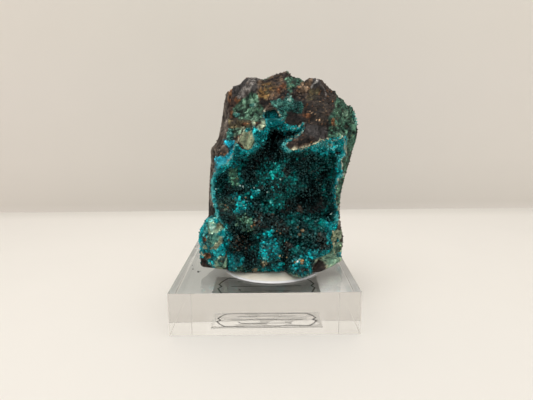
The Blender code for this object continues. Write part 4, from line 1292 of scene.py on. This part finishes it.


# Stains and clusters of the druse: look, softness in pixels, outline in the photo's pixels
# The near-black patches are painted shade in the hollows, and the bright turquoise patches paint light on lit
# clusters.
DRUSE_PATCHES = (
    ("turquoise", 2.0, ((262, 108), (272, 108), (272, 128), (268, 134), (263, 140), (258, 147), (252, 153),
                        (246, 152), (250, 136), (262, 124))),
    ("lagoon", 2.0, ((270, 108), (280, 108), (290, 126), (286, 132), (282, 129), (276, 128), (271, 124))),
    ("deep", 2.5, ((234, 150), (246, 150), (254, 150), (250, 160), (246, 172), (236, 170), (226, 176),
                   (222, 190), (212, 190), (214, 176), (226, 166))),
    ("turquoise", 1.8, ((234, 143), (240, 150), (248, 153), (246, 160), (240, 158), (236, 165), (226, 172),
                        (216, 178), (211, 190), (208, 186), (214, 166), (230, 162))),
    ("lagoon", 1.5, ((310, 146), (317, 142), (327, 137), (345, 136), (346, 158), (340, 162), (342, 174),
                     (337, 179), (335, 170), (337, 158), (331, 152), (320, 151), (312, 150))),
    ("lagoon", 1.2, ((209, 182), (213, 171), (221, 165), (225, 169), (218, 174), (215.5, 182), (214, 192),
                     (217, 204), (220, 217), (215, 217), (210, 204), (208, 190))),
    ("cream", 0.8, oval(329.2, 146.0, 1.6, 1.4)),
    ("umber", 1.0, oval(337.7, 152.7, 2.6, 2.6)),
    ("shade_black", 2.0, ((270, 130), (276, 127), (283, 128.5), (286, 134), (285, 142), (282, 148), (284, 156),
                    (282, 164), (274, 158), (266, 158), (262, 166), (254, 172), (247, 172), (246, 164),
                    (250, 156), (256, 150), (262, 146), (266, 138))),
    ("shade_black", 1.2, oval(292.0, 133.0, 4.6, 3.2)),
    ("shade_black", 2.0, ((243, 166), (258, 164), (257, 176), (256, 184), (246, 182), (243, 174))),
    ("teal", 3.0, ((259, 168), (270, 163), (283, 168), (291, 182), (290, 196), (284, 206), (272, 212),
                   (260, 210), (256, 196), (258, 182))),
    ("umber", 2.0, ((284, 200), (292, 197), (303, 200), (305, 208), (298, 214), (286, 212))),
    ("shade_black", 2.5, ((300, 186), (316, 184), (324, 192), (328, 206), (320, 214), (304, 214), (300, 202))),
    ("umber", 1.5, oval(286.4, 170.0, 4.0, 6.0)),
    ("moor", 1.5, oval(326.0, 203.0, 4.0, 4.6)),
    ("khaki", 1.8, ((229, 168), (236, 168), (239, 178), (238, 187), (231, 184))),
    ("shade_black", 1.8, ((226, 187), (240, 187), (246, 192), (240, 197), (228, 195))),
    ("bright", 1.5, ((250, 191), (259, 191), (260, 198), (253, 200))),
    ("bright", 1.5, ((228, 195), (239, 195), (240, 200), (229, 200))),
    ("bright", 1.5, ((235, 203), (249, 201), (252, 208), (242, 214), (235, 213))),
    ("moor", 2.0, ((217, 198), (232, 198), (235, 206), (234, 218), (226, 218), (220, 210))),
    ("khaki", 1.8, ((238, 217), (246, 216), (253, 220), (253, 229), (244, 229), (238, 224))),
    ("umber", 1.5, ((252, 220), (260, 220), (262, 230), (254, 232))),
    ("shade_black", 2.0, ((231, 230), (241, 228), (249, 231), (250, 240), (250, 250), (242, 252), (233, 248),
                    (229, 240))),
    ("umber", 2.0, ((254, 212), (270, 214), (285, 222), (292, 232), (288, 238), (274, 228), (262, 226))),
    ("teal", 1.5, ((290, 214), (303, 214), (304, 226), (294, 230), (287, 224))),
    ("bright", 1.3, ((264, 231), (272, 230), (272, 238), (265, 238))),
    ("bright", 1.6, ((261, 240), (270, 238), (280, 246), (284, 256), (276, 260), (266, 260), (260, 252))),
    ("umber", 1.2, ((282, 241), (290, 243), (291, 252), (286, 254), (281, 248))),
    ("teal", 2.0, ((304, 218), (322, 218), (330, 226), (322, 232), (308, 230))),
    ("bright", 1.2, ((322, 224), (334, 222), (336, 231), (326, 232))),
    ("bright", 1.2, ((324.3, 231), (331, 230.4), (331.3, 242), (326, 242.5))),
    ("umber", 1.5, ((316, 232), (324, 234), (327, 246), (322, 252), (316, 248))),
    ("turquoise", 1.5, ((309, 249), (318, 252), (326, 247), (332, 246), (333, 254), (318, 257), (308, 258))),
    ("turquoise", 1.3, ((292, 258), (300, 256), (308, 259), (310, 272), (303, 278), (294, 273))),
    ("tan", 1.0, ((296, 259), (303, 259), (303, 264), (297, 264))),
    ("umber", 1.0, oval(302.5, 270.2, 3.4, 1.6)),
    ("sage", 1.2, ((291, 274), (300, 277), (309, 274), (318, 270), (318, 284), (290, 284))),
    ("tan", 0.9, ((263, 259), (269, 259), (269, 264), (262, 267))),
    ("umber", 1.2, ((266, 262.5), (279, 260), (280, 267), (267, 268))),
    ("shade_black", 2.0, ((280, 253), (290, 253), (291, 270), (281, 270))),
    ("turquoise", 1.8, ((228, 254), (240, 255), (244, 262), (240, 268), (230, 272), (226, 262))),
    ("turquoise", 1.2, ((221, 226), (228, 225), (230, 236), (229, 250), (221, 252))),
    ("moss", 1.0, ((236, 267), (243, 265), (245, 275), (236, 275))),
    ("teal", 1.2, ((245, 266), (254, 264), (262, 266), (262, 276), (245, 276))),
    ("tan", 0.9, oval(255.5, 270.5, 2.6, 1.8)),
    ("bright", 1.2, ((262, 268), (272, 264.5), (281, 262), (284, 270), (272, 277), (262, 276))),
    ("shade_black", 2.0, ((244, 252), (256, 253), (258, 266), (248, 270), (243, 264))),
)
# Scattered crystals that stand out: colour, centre and reach in the photo's pixels, share
# The bright cyan accents are painted glints of light on the crystals.
ACCENTS = (
    ((176, 128, 84), 248, 199.5, 4, 2, 0.4), ((170, 120, 76), 254, 224, 5, 4, 0.25),
    ((150, 108, 78), 284, 232, 9, 5, 0.2), ((84, 66, 54), 240, 240, 9, 7, 0.5),
    ((188, 130, 70), 299, 261, 4, 3, 0.4), ((176, 140, 96), 282, 255, 5, 3, 0.25),
    ((150, 116, 84), 228, 206, 5, 6, 0.12), ((160, 130, 96), 301, 231, 4, 3, 0.12),
    ((130, 170, 140), 246, 222, 8, 6, 0.2), ((10, 186, 190), 254, 195, 5, 3, 0.5),
    ((20, 200, 200), 244, 205, 6, 4, 0.5), ((10, 180, 186), 234, 198, 5, 2, 0.5),
    ((10, 180, 186), 237, 211, 4, 3, 0.4), ((0, 168, 176), 270, 247, 9, 8, 0.4),
    ((0, 168, 176), 268, 234, 4, 4, 0.4), ((20, 180, 188), 329, 227, 6, 4, 0.35),
    ((0, 160, 168), 300, 262, 8, 8, 0.25), ((0, 170, 176), 328, 251, 5, 3, 0.3),
    ((30, 150, 150), 272, 186, 14, 18, 0.08), ((40, 150, 150), 263, 172, 6, 5, 0.2),
    ((150, 170, 160), 266, 191, 8, 3, 0.12), ((90, 110, 100), 310, 170, 22, 26, 0.03),
)
# Points of painted glints: the crystal nearest each one is coloured near-white.
PAINTED_GLINTS = (
    (241.1, 186.0), (242.3, 187.2), (216.2, 189.0), (279.4, 179.0), (321.4, 230.0), (314.4, 221.4),
    (322.7, 224.6), (332.0, 212.8), (254.5, 186.8), (268.2, 192.0), (243.6, 206.7), (265.3, 247.8), (246.0, 205.0),
)


def druse_colours(points, x, z):
    """The painted colour of the druse at points."""
    px = warped_pixels(points, 81)
    base = tones_of(points, "deep", 83)
    base = lay_patches(base, px, DRUSE_PATCHES, np.ones(len(points)), points)
    rim = rim_distance(x, z) + 0.5 * fractal(points, 1.6, 2, 85)
    rim = np.where(z < 17.0, 3.0, rim)
    amount = ((1 - smooth(rim, 0.25, 0.95)) * 0.9)[:, None]
    base = base * (1 - amount) + tones_of(points, "lagoon", 86) * amount
    return base, rim, px


def make_druse():
    low_x, high_x, low_z, high_z = -14.6, 23.0, 13.2, 56.0
    xs = np.arange(low_x, high_x, DRUSE_CELL)
    zs = np.arange(low_z, high_z, DRUSE_CELL)
    grid_x, grid_z = np.meshgrid(xs, zs, indexing="ij")
    x, z = grid_x.ravel(), grid_z.ravel()
    ragged = 0.25 * value_noise(np.stack([x, z, x * 0], -1), 1.1, 87)
    kept = np.maximum(rim_distance(x, z) + ragged, solid_rim_distance(x, z)) > -0.45
    y = druse_height(x, z)
    front = np.stack([x, y, z], -1)
    columns = len(zs)
    cells = []
    for i in range(len(xs) - 1):
        for j in range(columns - 1):
            corners = (i * columns + j, (i + 1) * columns + j, (i + 1) * columns + j + 1, i * columns + j + 1)
            if all(kept[c] for c in corners):
                cells.append(corners)
    used = sorted({c for cell in cells for c in cell})
    index = {old: new for new, old in enumerate(used)}
    cells = [tuple(index[c] for c in cell) for cell in cells]
    front = front[used]
    count = len(front)
    back = front + (0, 2.2, 0)
    back[:, [0, 2]] += (np.array(DRUSE_MIDDLE) - back[:, [0, 2]]) * 0.05
    directed = {(a, b) for cell in cells for a, b in zip(cell, cell[1:] + cell[:1])}
    border = [(a, b) for a, b in directed if (b, a) not in directed]
    faces = list(cells) + [tuple(c + count for c in reversed(cell)) for cell in cells]
    edge = sorted({a for a, b in border})
    rows = [edge]
    points = np.concatenate([front, back])
    for ring in range(1, WALL_RINGS):
        share = ring / WALL_RINGS
        between = front[edge] * (1 - share) + back[edge] * share
        between[:, 0] += 0.4 * fractal(between, 0.9, 2, 105)
        between[:, 2] += 0.4 * fractal(between, 0.9, 2, 107)
        rows.append(list(range(len(points), len(points) + len(edge))))
        points = np.concatenate([points, between])
    rows.append([corner + count for corner in edge])
    place = {corner: n for n, corner in enumerate(edge)}
    for near, far in zip(rows, rows[1:]):
        faces += [(near[place[b]], near[place[a]], far[place[a]], far[place[b]]) for a, b in border]
    colours, rim, px = druse_colours(points, points[:, 0], points[:, 2])
    # Painted shade on the druse's base, darker away from its rim where it lies deep among the crystals.
    colours = colours * np.clip(0.4 + 0.5 * (1 - smooth(rim, 0.5, 2.0)), 0, 1)[:, None]
    outside = smooth(-rim_distance(points[:, 0], points[:, 2]), 0.1, 0.4)
    colours = lay_patches(colours, px, ROCK_PATCHES, outside, points)
    colours = lay_veins(colours, px, VEINS, np.ones(len(points)) * 0.9, points)
    colours *= (1 + 0.5 * fractal(points, 0.8, 3, 89))[:, None]
    obj = mesh_from("druse_base", points, faces)
    paint(obj, "paint", np.clip(colours, 0.001, 1.0))
    obj.data.materials.append(druse_base_material())
    return piece(obj, "dioptase_crust")


def crystal_template():
    """Points and faces of a six-sided prism with a three-faced tip. Its radius is 1 and its height 1."""
    points, step = [], 0.42
    for ring, height in enumerate((0.0, 1.0)):
        for k in range(6):
            angle = k * math.pi / 3
            drop = ring * step * (1 + k % 2)
            points.append((math.cos(angle), math.sin(angle), height, drop))
    points.append((0.0, 0.0, 1.0, 0.0))
    faces = [(k, (k + 1) % 6, 6 + (k + 1) % 6, 6 + k) for k in range(6)]
    faces += [(6 + k, 6 + (k + 1) % 6, 6 + (k + 2) % 6, 12) for k in (0, 2, 4)]
    return np.array(points), faces


def make_crystals():
    rng = np.random.default_rng(SEED)
    step = 0.6
    low_x, high_x, low_z, high_z = -14.0, 22.5, 13.4, 55.0
    candidates = rng.uniform((low_x, low_z), (high_x, high_z), (60000, 2))
    x, z = candidates[:, 0], candidates[:, 1]
    inside = rim_distance(x, z)
    x, z, inside = x[inside > RIM_REACH], z[inside > RIM_REACH], inside[inside > RIM_REACH]
    reach = 0.25
    slope_x = (druse_height(x + reach, z) - druse_height(x - reach, z)) / (2 * reach)
    slope_z = (druse_height(x, z + reach) - druse_height(x, z - reach)) / (2 * reach)
    steep = np.sqrt(1 + slope_x**2 + slope_z**2)
    edge = 1 - smooth(inside, 0.4, 1.8)
    keep = rng.uniform(0, 1, len(x)) < np.clip(steep / 3.0, 0.25, 1.0) * (0.5 + 0.5 * edge)
    x, z, inside, slope_x, slope_z = (v[keep] for v in (x, z, inside, slope_x, slope_z))
    order = rng.permutation(len(x))[:CRYSTALS]
    x, z, inside, slope_x, slope_z = (v[order] for v in (x, z, inside, slope_x, slope_z))
    foot = np.stack([x, druse_height(x, z), z], -1)
    normal = np.stack([slope_x, -np.ones_like(x), slope_z], -1)
    normal /= np.linalg.norm(normal, axis=1, keepdims=True)
    direction = normal + rng.normal(0, 0.38, (len(x), 3))
    direction /= np.linalg.norm(direction, axis=1, keepdims=True)
    low = 1 - smooth(z, 14.2, 15.6)
    near_rim = np.maximum(1 - smooth(inside, 0.6, 2.4), low)
    coarse = 1 + 0.35 * value_noise(np.stack([x, z, x * 0], -1), 5.0, 101)
    radius = rng.uniform(0.17, 0.42, len(x)) * coarse * (1 - 0.5 * near_rim)
    height = radius * rng.uniform(1.6, 3.0, len(x))
    colours, rim, px = druse_colours(foot, x, z)
    lumps = druse_lumps(x, z)
    # Painted shade on crystals in the gaps between clusters and painted light on the clusters' tops, fading out near
    # the rim and along the bottom.
    cluster_light_and_shade = np.exp(np.clip(1.9 * (lumps - 0.72), -2.0, 0.8))
    colours = colours * (cluster_light_and_shade + (1 - cluster_light_and_shade) * near_rim)[:, None]
    tone = np.exp(rng.normal(-0.05, 0.6, len(x)))
    for colour, cx, cy, rx, ry, share in ACCENTS:
        close = np.exp(-(((px[:, 0] - cx) / rx) ** 2) - ((px[:, 1] - cy) / ry) ** 2)
        struck = rng.uniform(0, 1, len(x)) < share * close
        colours = np.where(struck[:, None], linear(*colour), colours)
    straight = to_pixels(foot)
    # Painted glints: near-white crystals where highlights fall.
    for cx, cy in PAINTED_GLINTS:
        nearest = np.argmin(np.hypot(straight[:, 0] - cx, straight[:, 1] - cy))
        colours[nearest] = linear(206, 240, 234)
        radius[nearest], height[nearest], tone[nearest] = 0.24, 0.7, 1.0
    colours = np.clip(colours * tone[:, None], 0.001, 0.95)
    grow_crystals("dioptase_crystals", foot, direction, radius, height, colours, crystal_material(),
                  rng)


def grow_crystals(name, foot, direction, radius, height, colours, look, rng):
    """Meshes of many small prisms with three-faced tips, each grown from its foot."""
    template, faces = crystal_template()
    corners = len(template)
    direction = direction / np.linalg.norm(direction, axis=1, keepdims=True)
    side = np.cross(direction, rng.normal(0, 1, foot.shape))
    side /= np.linalg.norm(side, axis=1, keepdims=True)
    other = np.cross(direction, side)
    start = foot - direction * (0.25 * height)[:, None]
    along = template[None, :, 2] * height[:, None] * 1.25 - template[None, :, 3] * radius[:, None]
    points = start[:, None, :] + side[:, None, :] * (template[None, :, 0] * radius[:, None])[..., None]
    points = points + other[:, None, :] * (template[None, :, 1] * radius[:, None])[..., None]
    points = points + direction[:, None, :] * along[..., None]
    for part, first in enumerate(range(0, len(foot), CRYSTALS_PER_PIECE)):
        block = points[first : first + CRYSTALS_PER_PIECE]
        all_faces = [tuple(corners * k + corner for corner in face) for k in range(len(block)) for face in faces]
        obj = mesh_from(f"{name}_{part}", block.reshape(-1, 3), all_faces, False)
        paint(obj, "paint", np.repeat(colours[first : first + CRYSTALS_PER_PIECE], corners, 0))
        obj.data.materials.append(look)
        piece(obj)


make_camera()
make_stage()
make_lights()
make_block()
make_label()
make_glue()
make_dust()
make_seat()
make_putty()
make_rock()
make_druse()
make_crystals()
